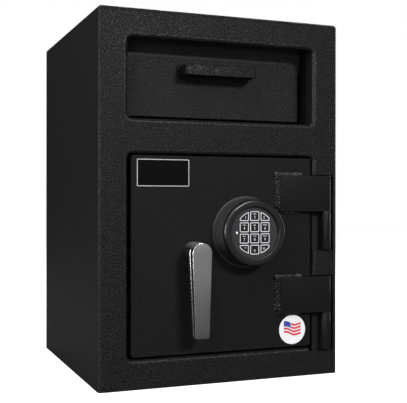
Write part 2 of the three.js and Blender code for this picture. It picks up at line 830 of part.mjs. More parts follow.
function boltCarriage() {
  const half = boltSpacing / 2 + carriageLap;
  const plate = block([carriageLeft, carriageRight], [carriageY, carriageY + carriageThickness],
    [doorMiddleZ - half, doorMiddleZ + half]);
  const through = [carriageY - overrun, carriageY + overrun];
  const slotX = leverX + crankSide;
  const slotReach = crankPinRadius + crankSlack;
  const crankSlot = block([slotX - slotReach, slotX + slotReach], through,
    [leverZ - crankRadius - slotReach, leverZ - crankSide + slotReach]);
  const guideReach = studRadius + runningGap;
  const guideSlots = [-1, 1].map((sign) => {
    const z = leverZ + (sign * studSpacing) / 2;
    return prism(roundedRectangle([studX - guideReach, studX + guideReach + boltThrow],
      [z - guideReach, z + guideReach], guideReach - seam), 'y', ...through);
  });
  return cut(plate, crankSlot, ...guideSlots);
}

function lockBody() {
  const nearY = doorBackY + seam;
  const body = block([lockLeft, lockLeft + lockWidth], [nearY, nearY + lockThickness],
    [keypadZ - lockHeight / 2, keypadZ + lockHeight / 2]);
  const reach = lockBoltWidth / 2 + seam;
  const boltY0 = doorBackY + lockBoltSetback - seam;
  const room = block([lockLeft - overrun, lockBoltTip + lockBoltLength + seam],
    [boltY0, boltY0 + lockBoltThickness + 2 * seam], [keypadZ - reach, keypadZ + reach]);
  return cut(body, room);
}

function lockBolt() {
  const half = lockBoltWidth / 2;
  const nearY = doorBackY + lockBoltSetback;
  return block([lockBoltTip, lockBoltTip + lockBoltLength],
    [nearY, nearY + lockBoltThickness], [keypadZ - half, keypadZ + half]);
}

function deadBar() {
  const footY = doorBackY + seam;
  const armY = doorBackY + deadBarSetback;
  const webX = deadBarLeft + deadBarFoot - deadBarSheet;
  const outline = [
    [deadBarLeft, footY], [webX + deadBarSheet, footY], [webX + deadBarSheet, armY],
    [webX + deadBarRun, armY], [webX + deadBarRun, armY + deadBarSheet], [webX, armY + deadBarSheet],
    [webX, footY + deadBarSheet], [deadBarLeft, footY + deadBarSheet],
  ];
  return prism(outline, 'z', doorBottom + deadBarEndGap, doorTop - deadBarEndGap);
}

function boltWorkCover() {
  const footY = doorBackY + seam;
  const farY = doorBackY + coverSetback + coverSheet;
  const [low, high] = [doorBottom + coverEndGap, doorTop - coverEndGap];
  const outline = [
    [footY, low], [footY, low + coverFoot], [farY - coverSheet, low + coverFoot],
    [farY - coverSheet, high - coverFoot], [footY, high - coverFoot], [footY, high],
    [footY + coverSheet, high], [footY + coverSheet, high - coverFoot + coverSheet],
    [farY, high - coverFoot + coverSheet], [farY, low + coverFoot - coverSheet],
    [footY + coverSheet, low + coverFoot - coverSheet], [footY + coverSheet, low],
  ];
  return prism(outline, 'x', doorLeft + coverFromLatchEdge, deadBarLeft - coverFromDeadBar);
}

// The whole safe, as groups of the pieces that move together
const safe = new THREE.Group();

const cabinet = new THREE.Group();
addPiece(cabinet, 'cabinet_shell', caseShell(), blackPaint);
addPiece(cabinet, 'floor_plate', floorPlate(), blackPaint);
addPiece(cabinet, 'back_plate', backPlate(), blackPaint);
addPiece(cabinet, 'hopper_cheek_right', hopperCheek(), blackPaint);
addPiece(cabinet, 'hopper_cheek_left', mirrored(hopperCheek()), blackPaint);
addPiece(cabinet, 'fish_guard', fishGuard(), blackPaint);
addPiece(cabinet, 'hopper_sill', hopperSill(), blackPaint);
addPiece(cabinet, 'bumper_left', bumper(-1), darkPlastic);
addPiece(cabinet, 'bumper_right', bumper(1), darkPlastic);
addPiece(cabinet, 'hopper_pivot_rod', pivotRod(), bareSteel);
for (const [where, drop] of [['upper', 0], ['lower', hingePitch]]) {
  addPiece(cabinet, `${where}_hinge_seat`, hingeSeat(drop), blackPaint);
  addPiece(cabinet, `${where}_hinge_pin`, hingePin(drop), bareSteel);
  addPiece(cabinet, `${where}_hinge_washer`, hingeWasher(drop), bronze);
}
safe.add(cabinet);

const hopper = new THREE.Group();
hopper.position.set(0, pivotY, pivotZ);
addPiece(hopper, 'hopper_panel', hopperPanel(), blackPaint);
addPiece(hopper, 'hopper_bin', hopperBin(), blackPaint);
addPiece(hopper, 'hopper_pull', hopperPull(), blackPaint);
safe.add(hopper);

const door = new THREE.Group();
addPiece(door, 'door_plate', doorPlate(), blackPaint);
addPiece(door, 'upper_hinge_strap', hingeStrap(0), blackPaint);
addPiece(door, 'lower_hinge_strap', hingeStrap(hingePitch), blackPaint);
addPiece(door, 'nameplate', nameplate(), darkPlastic);
addPiece(door, 'round_label', roundLabel(), finish(0xf2f2f2, 0.5, 0));
addPiece(door, 'lock_body', lockBody(), platedSteel);
addPiece(door, 'lock_bolt', lockBolt(), bronze);
addPiece(door, 'dead_bar', deadBar(), bareSteel);
addPiece(door, 'bolt_work_cover', boltWorkCover(), blackPaint);
addPiece(door, 'bolt_carriage', boltCarriage(), platedSteel);
for (const [where, sign] of [['upper', 1], ['lower', -1]]) {
  const boltZ = doorMiddleZ + (sign * boltSpacing) / 2;
  addPiece(door, `${where}_bolt_guide`, boltGuide(boltZ), bareSteel);
  addPiece(door, `${where}_bolt`, lockingBolt(boltZ), brightChrome);
  const stud = addPiece(door, `${where}_guide_stud`, guideStud(), platedSteel);
  stud.rotation.x = Math.PI / 2;
  stud.position.set(studX, doorBackY, leverZ + (sign * studSpacing) / 2);
}
safe.add(door);

const keypad = new THREE.Group();
keypad.position.set(keypadX, doorFrontY, keypadZ);
keypad.rotation.x = Math.PI / 2;
addPiece(keypad, 'keypad_housing', keypadHousing(), darkPlastic);
addPiece(keypad, 'keypad_bezel', keypadBezel(), darkPlastic);
addPiece(keypad, 'keypad_face', keypadFace(), finish(0x3a3b44, 0.45, 0));
addPiece(keypad, 'keypad_mat', keypadMat(), finish(0x55565a, 0.8, 0));
addPiece(keypad, 'keypad_board', keypadBoard(), finish(0x1f5a38, 0.6, 0));
addPiece(keypad, 'keypad_battery', keypadBattery(), platedSteel);
addPiece(keypad, 'led_lens', ledLens(), finish(0xf4f4f4, 0.3, 0));
addPiece(keypad, 'lock_cable', lockCable(), darkPlastic);
for (const place of keyPlaces) {
  addPiece(keypad, `key_${place.name}`, key(place), finish(0x232426, 0.6, 0));
}
door.add(keypad);

const lever = new THREE.Group();
lever.position.set(leverX, doorFrontY, leverZ);
lever.rotation.x = Math.PI / 2;
addPiece(lever, 'lever_handle', leverHandle(), brightChrome);
addPiece(lever, 'lever_spindle', leverSpindle(), bareSteel);
addPiece(lever, 'cam_disc', camDisc(), platedSteel);
addPiece(lever, 'lever_bushing', leverBushing(), bronze);
door.add(lever);

export default safe;
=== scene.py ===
import json
import math
import bmesh
import bpy
import numpy as np
from mathutils import Matrix, Vector
from mathutils.geometry import tessellate_polygon


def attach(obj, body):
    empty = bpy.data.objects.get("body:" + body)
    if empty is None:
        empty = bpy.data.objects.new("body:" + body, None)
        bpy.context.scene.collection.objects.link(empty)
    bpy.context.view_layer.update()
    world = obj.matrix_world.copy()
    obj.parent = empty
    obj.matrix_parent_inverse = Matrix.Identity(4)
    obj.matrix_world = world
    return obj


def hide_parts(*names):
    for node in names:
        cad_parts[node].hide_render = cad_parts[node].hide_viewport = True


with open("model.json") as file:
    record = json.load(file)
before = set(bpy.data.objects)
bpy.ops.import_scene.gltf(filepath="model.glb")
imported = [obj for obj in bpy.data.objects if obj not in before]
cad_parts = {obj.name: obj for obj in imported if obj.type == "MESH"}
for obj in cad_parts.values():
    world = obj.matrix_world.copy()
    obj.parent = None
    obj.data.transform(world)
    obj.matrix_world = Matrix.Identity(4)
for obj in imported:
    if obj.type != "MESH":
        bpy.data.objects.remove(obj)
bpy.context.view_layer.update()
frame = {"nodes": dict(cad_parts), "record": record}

# A drop safe with a tipping deposit drawer over a keypad door.
# Lengths are millimetres in the frame of the CAD model, front towards -Y; makePiece turns them to metres.
mm = 0.001
perMetre = 1000  # millimetres in a metre
cadNodes = frame["nodes"]
scene = bpy.context.scene
print("frame loaded:", len(cadNodes), "nodes")

photoCamera = {
    "place": (-445.65, -1225.23, 252.83),
    "turnRight": 21.596,  # degrees from straight ahead
    "lookUp": -0.126,
    "roll": 0.061,
    "focalPixels": 822.44,
    "frameWidth": 407,
    "sensor": 36.0,
    "nearest": 0.05,  # metres
}


# Ahead from the turn and the lift, level at right angles to it, then right and up turned by the roll
def makeCamera():
    c = photoCamera
    turn, lift, roll = (math.radians(c[k]) for k in ("turnRight", "lookUp", "roll"))
    ahead = Vector((math.sin(turn) * math.cos(lift), math.cos(turn) * math.cos(lift), math.sin(lift)))
    level = Vector((math.cos(turn), -math.sin(turn), 0.0))
    upward = level.cross(ahead)
    right = level * math.cos(roll) + upward * math.sin(roll)
    up = upward * math.cos(roll) - level * math.sin(roll)
    data = bpy.data.cameras.new("camera")
    data.sensor_width = c["sensor"]
    data.lens = c["focalPixels"] * c["sensor"] / c["frameWidth"]
    data.clip_start = c["nearest"]
    camera = bpy.data.objects.new("camera", data)
    axes = Matrix((right, up, -ahead)).transposed().to_4x4()
    camera.matrix_world = Matrix.Translation(Vector(c["place"]) * mm) @ axes
    scene.collection.objects.link(camera)
    scene.camera = camera


studio = {
    "backdrop": 1.0,
    "zenith": 0.35,
    # (X of the direction, brightness): brightest where a wall is lit, to the right of the front
    "horizon": ((0.0, 0.05), (0.34, 0.15), (0.72, 0.06)),
    "behind": 0.35,  # share of the surrounding light that comes from behind the safe
    "turnsRear": (-0.2, 0.3),  # the stretch of Y over which it falls to that share
    "floorSize": 12.0,  # metres
    "floorDrop": 0.0005,  # metres below the safe
    "floorTint": 0.4,
    "floorGlow": 0.93,
    "bounce": 0.09,  # how much of the light the floor throws back at the safe
    "footprint": 0.176,  # metres from the middle to where the glow starts
}
softboxes = [
    # name, place, aimed at, width, height (metres), watts
    ("keyBox", (0.44, -2.16, 1.12), (0.0, -0.18, 0.28), 0.6, 0.26, 44),
    ("fillBox", (-1.1, -2.1, 0.30), (0.0, -0.18, 0.25), 1.2, 0.7, 13),
    ("faceCard", (0.40, -1.33, 0.20), (-0.05, -0.21, 0.14), 0.8, 0.4, 0.32),
    ("bezelBox", (-1.05, -1.25, 1.10), (0.02, -0.20, 0.22), 0.55, 0.4, 7),
    ("topBox", (-0.70, -0.75, 1.35), (-0.10, -0.18, 0.35), 0.8, 0.45, 6),
    ("sideBox", (-2.2, -0.3, 0.55), (-0.18, 0.0, 0.25), 1.0, 1.0, 50),
    ("rightBox", (1.7, 0.8, 1.7), (0.18, 0.0, 0.25), 0.9, 0.9, 28),
    ("rightStrip", (1.83, 0.17, 0.40), (0.17, -0.18, 0.25), 0.14, 1.2, 8.0),  # grazes the strap ends
    ("backBox", (0.3, 1.7, 1.8), (0.0, 0.18, 0.25), 0.9, 0.9, 34),
]
white = (1, 1, 1, 1)


# A shader node with its settings; an input takes a constant, or a link where an output is given
def addNode(tree, kind, inputs=None, **settings):
    node = tree.nodes.new("ShaderNode" + kind)
    for name, value in settings.items():
        setattr(node, name, value)
    for name, value in (inputs or {}).items():
        if isinstance(value, bpy.types.NodeSocket):
            tree.links.new(value, node.inputs[name])
        else:
            node.inputs[name].default_value = value
    return node


# One step of arithmetic on outputs or numbers
def calculate(tree, operation, *values):
    return addNode(tree, "Math", dict(enumerate(values)), operation=operation).outputs[0]


# A value carried from one range to another, and held at its ends
def remap(tree, value, source=(0, 1), target=(0, 1), **settings):
    names = ("Value", "From Min", "From Max", "To Min", "To Max")
    inputs = dict(zip(names, (value, *source, *target)))
    return addNode(tree, "MapRange", inputs, **settings).outputs["Result"]


# X, Y and Z of a node's output
def splitAxes(tree, kind, output):
    return addNode(tree, "SeparateXYZ", {0: addNode(tree, kind).outputs[output]}).outputs


# An emptied node tree of a world or a material
def startTree(owner):
    owner.use_nodes = True
    owner.node_tree.nodes.clear()
    return owner.node_tree


# One shader for the camera and another for every other ray
def finishTree(tree, output, toOthers, toCamera):
    rays = addNode(tree, "LightPath").outputs["Is Camera Ray"]
    mix = addNode(tree, "MixShader", {"Fac": rays, 1: toOthers.outputs[0], 2: toCamera.outputs[0]})
    addNode(tree, output, {"Surface": mix.outputs[0]})


# White to the camera; to the safe, a strength that goes from the horizon's to the zenith's with Z
def makeWorld():
    s = studio
    scene.view_settings.view_transform = "Standard"
    world = bpy.data.worlds.new("studioWorld")
    tree = startTree(world)
    direction = splitAxes(tree, "TexCoord", "Generated")
    level = addNode(tree, "ValToRGB", {"Fac": direction["X"]})
    stops = level.color_ramp.elements
    for i, (place, shade) in enumerate(s["horizon"]):
        stop = stops[i] if i < len(stops) else stops.new(place)
        stop.position, stop.color = place, (shade, shade, shade, 1)
    rise = remap(tree, direction["Z"], (0, 1), (level.outputs["Color"], s["zenith"]))
    rear = remap(tree, direction["Y"], s["turnsRear"], (1, s["behind"]))
    around = addNode(tree, "Background", {"Strength": calculate(tree, "MULTIPLY", rise, rear)})
    seen = addNode(tree, "Background", {"Color": white, "Strength": s["backdrop"]})
    finishTree(tree, "OutputWorld", around, seen)
    scene.world = world


def makeLights():
    for name, place, target, width, height, watts in softboxes:
        data = bpy.data.lights.new(name, "AREA")
        data.shape, data.size, data.size_y, data.energy = "RECTANGLE", width, height, watts
        box = bpy.data.objects.new(name, data)
        box.location = place
        box.rotation_euler = (Vector(target) - Vector(place)).to_track_quat("-Z", "Y").to_euler()
        scene.collection.objects.link(box)


# White to the camera beyond the safe's footprint, where the larger of |x| and |y| passes its half width;
# inside it the glow is left out, a painted shade under the safe
def makeFloor():
    s = studio
    half = s["floorSize"] / 2
    mesh = bpy.data.meshes.new("floor")
    corners = [(-half, -half, 0), (half, -half, 0), (half, half, 0), (-half, half, 0)]
    mesh.from_pydata(corners, [], [(0, 1, 2, 3)])
    floor = bpy.data.objects.new("floor", mesh)
    floor.location = (0, 0, -s["floorDrop"])
    material = bpy.data.materials.new("paleFloor")
    tree = startTree(material)
    place = splitAxes(tree, "TexCoord", "Object")
    larger = calculate(tree, "MAXIMUM", *(calculate(tree, "ABSOLUTE", place[axis]) for axis in "XY"))
    beyond = calculate(tree, "GREATER_THAN", larger, s["footprint"])
    lit = calculate(tree, "MULTIPLY", beyond, s["floorGlow"])
    glow = addNode(tree, "Emission", {"Color": white, "Strength": lit})
    pale, dim = (addNode(tree, "BsdfDiffuse", {"Color": (s[k],) * 3 + (1,)}) for k in ("floorTint", "bounce"))
    both = addNode(tree, "AddShader", {0: pale.outputs[0], 1: glow.outputs[0]})
    finishTree(tree, "OutputMaterial", dim, both)
    mesh.materials.append(material)
    scene.collection.objects.link(floor)


makeCamera()
makeWorld()
makeLights()
makeFloor()
print("camera and studio ready")

finishes = {
    # colour, roughness, specular, metal, width of a grain and height of the bump in millimetres, mottle
    "powderCoat": ((0.0083, 0.0083, 0.0084), 0.38, 0.10, 0.0, 1.8, 0.55, 0.6),
    "doorCoat": ((0.0076, 0.0076, 0.0078), 0.42, 0.06, 0.0, 1.8, 0.4, 0.45),
    "rimCoat": ((0.0074, 0.0074, 0.0075), 0.34, 0.14, 0.0, 2.8, 0.3, 0.35),
    # a lighter copy of powderCoat: painted light on the drawer panel, standing in for the light it loses in
    # its recess
    "drawerLitCoat": ((0.0105, 0.0105, 0.0106), 0.40, 0.095, 0.0, 1.8, 0.4, 0.42),
    # a much lighter copy of powderCoat: painted light on the fish guard, which sits in shade above the drawer
    "guardLitCoat": ((0.0240, 0.0240, 0.0241), 0.42, 0.06, 0.0, 2.0, 0.2, 0.3),
    "smoothCoat": ((0.0066, 0.0066, 0.0067), 0.28, 0.12, 0.0, 1.8, 0.12, 0.15),
    "weldCoat": ((0.0070, 0.0070, 0.0071), 0.25, 0.36, 0.0, 1.1, 0.15, 0.15),
    # a darker copy of powderCoat: painted shade on the parts inside the drawer recess
    "recessShadeCoat": ((0.0050, 0.0050, 0.0051), 0.45, 0.05, 0.0, 2.0, 0.3, 0.3),
    # a lighter copy of powderCoat: painted light on the hinge backing plates, lifting the shade in the hinge
    # pockets
    "pocketLitCoat": ((0.0100, 0.0100, 0.0101), 0.5, 0.08, 0.0, 1.8, 0.2, 0.2),
    "bareSteel": ((0.34, 0.34, 0.35), 0.32, 0.5, 1.0, 0.5, 0.01, 0.15),
    "blackenedSteel": ((0.035, 0.034, 0.033), 0.5, 0.5, 1.0, 0.8, 0.01, 0.25),
    "platedSteel": ((0.52, 0.50, 0.43), 0.34, 0.5, 1.0, 2.0, 0.01, 0.2),
    "satinChrome": ((0.40, 0.387, 0.397), 0.2, 0.5, 1.0, 4.0, 0.01, 0.06),
    "bronze": ((0.026, 0.020, 0.013), 0.65, 0.5, 1.0, 0.6, 0.02, 0.3),
    "plateField": ((0.0020, 0.0020, 0.0023), 0.5, 0.02, 0.0, 0.8, 0.01, 0.1),
    "mouldedBlack": ((0.011, 0.011, 0.012), 0.36, 0.25, 0.0, 0.6, 0.02, 0.15),
    # a lighter copy of mouldedBlack: painted light on the keypad housing, standing in for the light its sides
    # lack
    "housingLitBlack": ((0.0230, 0.0230, 0.0238), 0.36, 0.22, 0.0, 0.6, 0.02, 0.15),
    "bezelBlack": ((0.0062, 0.0062, 0.0068), 0.23, 0.36, 0.0, 0.6, 0.01, 0.15),
    "facePlastic": ((0.022, 0.022, 0.0248), 0.5, 0.16, 0.0, 0.5, 0.01, 0.1),
    "silverInk": ((0.30, 0.30, 0.31), 0.45, 0.5, 0.0, 0.5, 0.005, 0.08),
    "whitePrint": ((0.70, 0.70, 0.72), 0.5, 0.4, 0.0, 0.5, 0.005, 0.05),
    "keyPrint": ((0.56, 0.56, 0.58), 0.5, 0.3, 0.0, 0.5, 0.005, 0.05),
    "redPrint": ((0.55, 0.03, 0.06), 0.5, 0.4, 0.0, 0.5, 0.005, 0.05),
    "bluePrint": ((0.03, 0.05, 0.25), 0.5, 0.4, 0.0, 0.5, 0.005, 0.05),
    "blackRubber": ((0.006, 0.006, 0.007), 0.6, 0.12, 0.0, 0.4, 0.02, 0.2),
    "greenBoard": ((0.02, 0.10, 0.05), 0.35, 0.5, 0.0, 1.2, 0.02, 0.4),
}
# half the band of the noise that becomes the slope between a valley and a flat-topped grain
pebbled = {"powderCoat": 0.12, "doorCoat": 0.12, "rimCoat": 0.13, "drawerLitCoat": 0.12}
topRoughness = {"satinChrome": 0.52}
texture = {
    "grainDetail": 3, "broadDetail": 2,
    "patch": 14,  # width of a broad patch, in grains
    "roughSpread": (0.85, 1.15),
    "middle": 0.5,  # of the noise
    "sideways": (0.5, 0.95), "sideFade": 0.7,  # |X| of the normal over which the grains fade, and how far
    "upwards": (0.4, 0.9),  # Z of the normal over which the top roughness comes in
}
materials = {}


# A value that changes over a stretch of the normal's X, left and right alike, or of its Z
def facingShare(tree, axis, stretch, target):
    facing = splitAxes(tree, "NewGeometry", "Normal")[axis]
    if axis == "X":
        facing = calculate(tree, "ABSOLUTE", facing)
    return remap(tree, facing, stretch, target)


# Colour and bump from a fine noise, roughness from a broad one
def surfaceFinish(name):
    if name in materials:
        return materials[name]
    colour, roughness, specular, metal, grainMm, bumpMm, mottle = finishes[name]
    t, middle = texture, texture["middle"]
    material = bpy.data.materials.new(name)
    material.use_nodes = True
    tree, link = material.node_tree, material.node_tree.links.new
    shader = tree.nodes["Principled BSDF"]
    shader.inputs["Metallic"].default_value = metal
    shader.inputs["Specular IOR Level"].default_value = specular
    place = addNode(tree, "TexCoord").outputs["Object"]
    sizes = ((grainMm, t["grainDetail"]), (grainMm * t["patch"], t["broadDetail"]))
    noises = [addNode(tree, "TexNoise", {"Vector": place, "Scale": perMetre / width, "Detail": detail})
              for width, detail in sizes]
    height, broad = (noise.outputs["Fac"] for noise in noises)
    if name in pebbled:
        slope = (middle - pebbled[name], middle + pebbled[name])
        step = remap(tree, height, slope, interpolation_type="SMOOTHSTEP")
        # sprayed smoother on the sides: the grains fade to half height where the normal points along X
        fade = facingShare(tree, "X", t["sideways"], (0, t["sideFade"]))
        height = addNode(tree, "Mix", {"Factor": fade, "A": step, "B": middle}).outputs["Result"]
    dark, light = (tuple(c * share for c in colour) + (1,) for share in (1 - mottle, 1 + mottle))
    shade = addNode(tree, "Mix", {"Factor": height, "A": dark, "B": light}, data_type="RGBA")
    polish = remap(tree, broad, (0, 1), [roughness * spread for spread in t["roughSpread"]])
    if name in topRoughness:  # less polished where the metal faces up
        polish = facingShare(tree, "Z", t["upwards"], (polish, topRoughness[name]))
    bump = addNode(tree, "Bump", {"Strength": 1.0, "Distance": bumpMm * mm, "Height": height})
    link(shade.outputs["Result"], shader.inputs["Base Color"])
    link(polish, shader.inputs["Roughness"])
    link(bump.outputs["Normal"], shader.inputs["Normal"])
    materials[name] = material
    return material


slotFinish = {
    "case_paint": "powderCoat", "bare_steel": "bareSteel", "plated_steel": "platedSteel",
    "chrome": "satinChrome", "keypad_plastic": "mouldedBlack", "face_plastic": "facePlastic",
    "key_rubber": "blackRubber", "mat_rubber": "blackRubber", "bumper_rubber": "blackRubber",
    "board": "greenBoard", "lens": "whitePrint", "nameplate": "mouldedBlack", "label": "whitePrint",
    "bronze": "bronze", "cable": "mouldedBlack",
}
ownFinish = {
    # the drawer's sill and cheeks take the darker paint, a painted shade for the recess
    "hopper_pivot_rod": "blackenedSteel", "hopper_sill": "recessShadeCoat",
    "hopper_cheek_left": "recessShadeCoat", "hopper_cheek_right": "recessShadeCoat",
}
for row in frame["record"]["subparts"]:
    cadMesh = cadNodes[row["node"]].data
    cadMesh.materials.clear()
    cadMesh.materials.append(surfaceFinish(ownFinish.get(row["node"], slotFinish[row["material_slot"]])))
print("CAD nodes dressed")

planes = {"x": (1, 2, 0), "y": (0, 2, 1), "z": (0, 1, 2)}  # the axes that hold across, up and depth
fewSteps = 3  # steps of a small rounding
levelShare = 1.5  # reach of the level strip inside a rounded edge, as a share of the rounding
doubles, slivers = 2e-6, 1e-7  # metres under which points are merged and edges dissolved


# Points on a circle about a centre as the angle goes from start to end, in degrees
def arcPoints(centre, radius, start, end, steps):
    angle = np.radians(np.linspace(start, end, steps + 1))
    return np.column_stack((centre[0] + radius * np.cos(angle), centre[1] + radius * np.sin(angle)))


# A full circle, clockwise where it is a hole
def circle(centre, radius, steps, hole=False):
    start, end = (360, 0) if hole else (0, 360)
    return arcPoints(centre, radius, start, end, steps)[:-1]


# Angles from 0 to 90 degrees, in radians
def quarterTurn(steps):
    return np.radians(np.linspace(0, 90, steps + 1))


# The two lower corners of a shape that is even about X = 0, as quarter circles from left to right
def lowCorners(half, low, radius, steps):
    return np.vstack([arcPoints((side * (half - radius), low + radius), radius, start, start + 90, steps)
                      for side, start in ((-1, 180), (1, 270))])


# Quarter circles about the centres, each a quarter turn further on
def quarterArcs(centres, radius, steps):
    return np.vstack([arcPoints(c, radius, 90 * i, 90 * (i + 1), steps) for i, c in enumerate(centres)])


# Four quarter circles joined by straight sides, anticlockwise
def roundedOutline(left, right, low, high, radius, steps=8):
    corners = ((right - radius, high - radius), (left + radius, high - radius),
               (left + radius, low + radius), (right - radius, low + radius))
    return quarterArcs(corners, radius, steps)


# The unit normal to the left of each side
def leftOf(sides):
    return np.column_stack((-sides[:, 1], sides[:, 0])) / np.linalg.norm(sides, axis=1, keepdims=True)


# How far a corner moves when both its sides move by one: the sum of their normals over 1 + their product
def mitreOf(before, after):
    return (before + after) / (1 + np.sum(before * after, axis=1, keepdims=True))


# Each point moves left by the mitre of its two sides: inwards on an anticlockwise outline, outwards on a hole
def insetOutline(outline, inset):
    before, after = outline - np.roll(outline, 1, axis=0), np.roll(outline, -1, axis=0) - outline
    return outline + inset * mitreOf(leftOf(before), leftOf(after))


# A flat outline laid into space: its two axes and the depth go where the plane says
def intoSpace(outline, depth, plane):
    points = np.empty((len(outline), 3))
    across, up, away = planes[plane]
    points[:, across], points[:, up], points[:, away] = outline[:, 0], outline[:, 1], depth
    return points


# Quads between neighbouring points of a grid, joined round where a side meets its opposite
def gridPart(grid, closeRows=False, closeColumns=False):
    rows, columns = grid.shape[:2]
    i, j = np.indices((rows - (not closeRows), columns - (not closeColumns)))
    row, nextRow, nextColumn = i * columns, (i + 1) % rows * columns, (j + 1) % columns
    quads = np.stack((row + j, row + nextColumn, nextRow + nextColumn, nextRow + j), -1)
    return grid.reshape(-1, 3), quads.reshape(-1, 4).tolist()


# A flat face inside the first loop and outside the others
def capPart(loops):
    triangles = tessellate_polygon([[Vector(p) for p in loop] for loop in loops])
    return np.vstack(loops), [list(t) for t in triangles]


# A pile of loops with the first and the last closed by a flat face
def closedPart(grid):
    return gather([gridPart(grid, closeColumns=True), capPart([grid[0]]), capPart([grid[-1]])])


# Several parts as one: each part's faces count on from the points before it
def gather(parts):
    offset, points, faces = 0, [], []
    for partPoints, partFaces in parts:
        points.append(partPoints)
        faces += [[k + offset for k in face] for face in partFaces]
        offset += len(partPoints)
    return np.vstack(points), faces


# Steps (inset, depth) down a plate's edge: a quarter circle at each face, and a narrow level step that
# keeps the face's shading flat
def edgeProfile(near, far, nearRound=0.8, farRound=None, steps=4):
    farRound = nearRound if farRound is None else farRound
    side = 1 if far > near else -1
    angle = quarterTurn(steps)
    sine, cosine = np.sin(angle), np.cos(angle)
    nearSteps = [(nearRound * levelShare, near)]
    nearSteps += zip(nearRound * (1 - sine), near + side * nearRound * (1 - cosine))
    farSteps = list(zip(farRound * (1 - cosine), far - side * farRound * (1 - sine)))
    farSteps += [(farRound * levelShare, far)]
    return (nearSteps if nearRound else [(0, near)]) + (farSteps if farRound else [(0, far)])


# The outline moved inwards by each step's inset, at that step's depth, with a flat face at both ends
def prismPart(outline, profile, plane="y", holes=()):
    rings = [[insetOutline(loop, inset) for loop in (outline, *holes)] for inset, depth in profile]
    parts = []
    for k in range(len(holes) + 1):
        grid = np.stack([intoSpace(ring[k], step[1], plane) for ring, step in zip(rings, profile)])
        parts.append(gridPart(grid, closeColumns=True))
    for ring, step in ((rings[0], profile[0]), (rings[-1], profile[-1])):
        parts.append(capPart([intoSpace(loop, step[1], plane) for loop in ring]))
    return gather(parts)


# A box between three pairs of limits, with rounded edges
def blockPart(x, y, z, edge=0.5):
    return prismPart(roundedOutline(*x, *z, edge, fewSteps), edgeProfile(*y, edge, steps=fewSteps))


# Point = centre + height along the axis + radius x (cos, sin) of the turn; a profile that doesn't start
# on the axis closes on itself
def lathePart(profile, centre, axis="y", segments=72):
    profile = np.asarray(profile, float)
    angle = np.linspace(0, 2 * np.pi, segments, endpoint=False)
    across, up, away = planes[axis]
    grid = np.empty((len(profile), segments, 3))
    grid[:, :, across] = centre[across] + profile[:, :1] * np.cos(angle)
    grid[:, :, up] = centre[up] + profile[:, :1] * np.sin(angle)
    grid[:, :, away] = centre[away] + profile[:, 1:]
    return gridPart(grid, closeRows=profile[0, 0] > 0, closeColumns=True)


# A quarter circle of a turned profile, from a start angle on
def roundCorner(radius, height, rounding, start, steps=5):
    return arcPoints((radius, height), rounding, start, start + 90, steps).tolist()


# A round bar along an axis: a straight side between two quarter circles
def barPart(radius, near, far, centre, axis, rounding=0.5, segments=48):
    r = rounding
    profile = [(0, near)] + roundCorner(radius - r, near + r, r, -90, 4)
    profile += roundCorner(radius - r, far - r, r, 0, 4) + [(0, far)]
    return lathePart(profile, centre, axis, segments)


# A tube along an axis: a rectangle with rounded corners, turned
def tubePart(inner, outer, near, far, centre, axis, rounding=0.4, segments=48):
    r = rounding
    corners = ((outer - r, near + r), (outer - r, far - r), (inner + r, far - r), (inner + r, near + r))
    profile = [p for i, c in enumerate(corners) for p in roundCorner(*c, r, 90 * (i - 1), fewSteps)]
    return lathePart(profile, centre, axis, segments)


# The same part on the other side: X changes sign
def mirrorPart(part):
    return part[0] * (-1, 1, 1), part[1]


# One object from closed surfaces: doubles merged, faces turned outwards, edges over the angle kept crisp
def makePiece(name, body, finish, parts, replaces=None, crisp=32):
    points, faces = gather(parts)
    mesh = bpy.data.meshes.new(name)
    mesh.from_pydata((points * mm).tolist(), [], faces)
    work = bmesh.new()
    work.from_mesh(mesh)
    bmesh.ops.remove_doubles(work, verts=work.verts, dist=doubles)
    bmesh.ops.dissolve_degenerate(work, edges=work.edges, dist=slivers)
    bmesh.ops.recalc_face_normals(work, faces=work.faces)
    work.to_mesh(mesh)
    work.free()
    mesh.polygons.foreach_set("use_smooth", np.ones(len(mesh.polygons), bool))
    mesh.set_sharp_from_angle(angle=math.radians(crisp))
    mesh.materials.append(surfaceFinish(finish))
    piece = bpy.data.objects.new(name, mesh)
    scene.collection.objects.link(piece)
    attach(piece, body)
    if replaces:
        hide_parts(replaces)


case = {
    "halfWidth": 178.5, "front": -178.5, "back": 178.5, "top": 508.0,
    "sheet": 3.4,
    "bend": 5.0, "bendSteps": 12,  # outer radius of the folded edges
    "openingHalf": 138.5, "openingCorner": 7.0,
    "roll": 5.0, "rollSteps": 10, "flange": 20.0, "flangeRound": 0.6,
    "door": (39.5, 314.5), "drawer": (361.5, 469.0),
    "pocketLeft": 132.5, "pocketRight": 171.5,
    "lowPocketTop": 144.0, "highPocket": (179.5, 289.0),
}
caseSizes = ("bend", "halfWidth", "front", "back", "top", "sheet")
flat = 0.3  # width of the level strip beside a bend
leastRadius = 1e-3


# Steps round an opening's edge: a quarter circle from the front face into the opening, the flange, and
# back behind the sheet
def rollProfile():
    c = case
    angle = quarterTurn(c["rollSteps"])
    bend = np.column_stack((-c["roll"] * (1 - np.sin(angle)), c["front"] + c["roll"] * (1 - np.cos(angle))))
    rear, inside, step = c["front"] + c["flange"], c["front"] + c["sheet"], c["flangeRound"]
    steps = [(-c["roll"] - flat, c["front"])] + bend.tolist() + [(0, rear - step), (-step, rear)]
    return steps + [(-c["sheet"], rear), (-c["sheet"], inside), (-c["roll"] - flat, inside)]


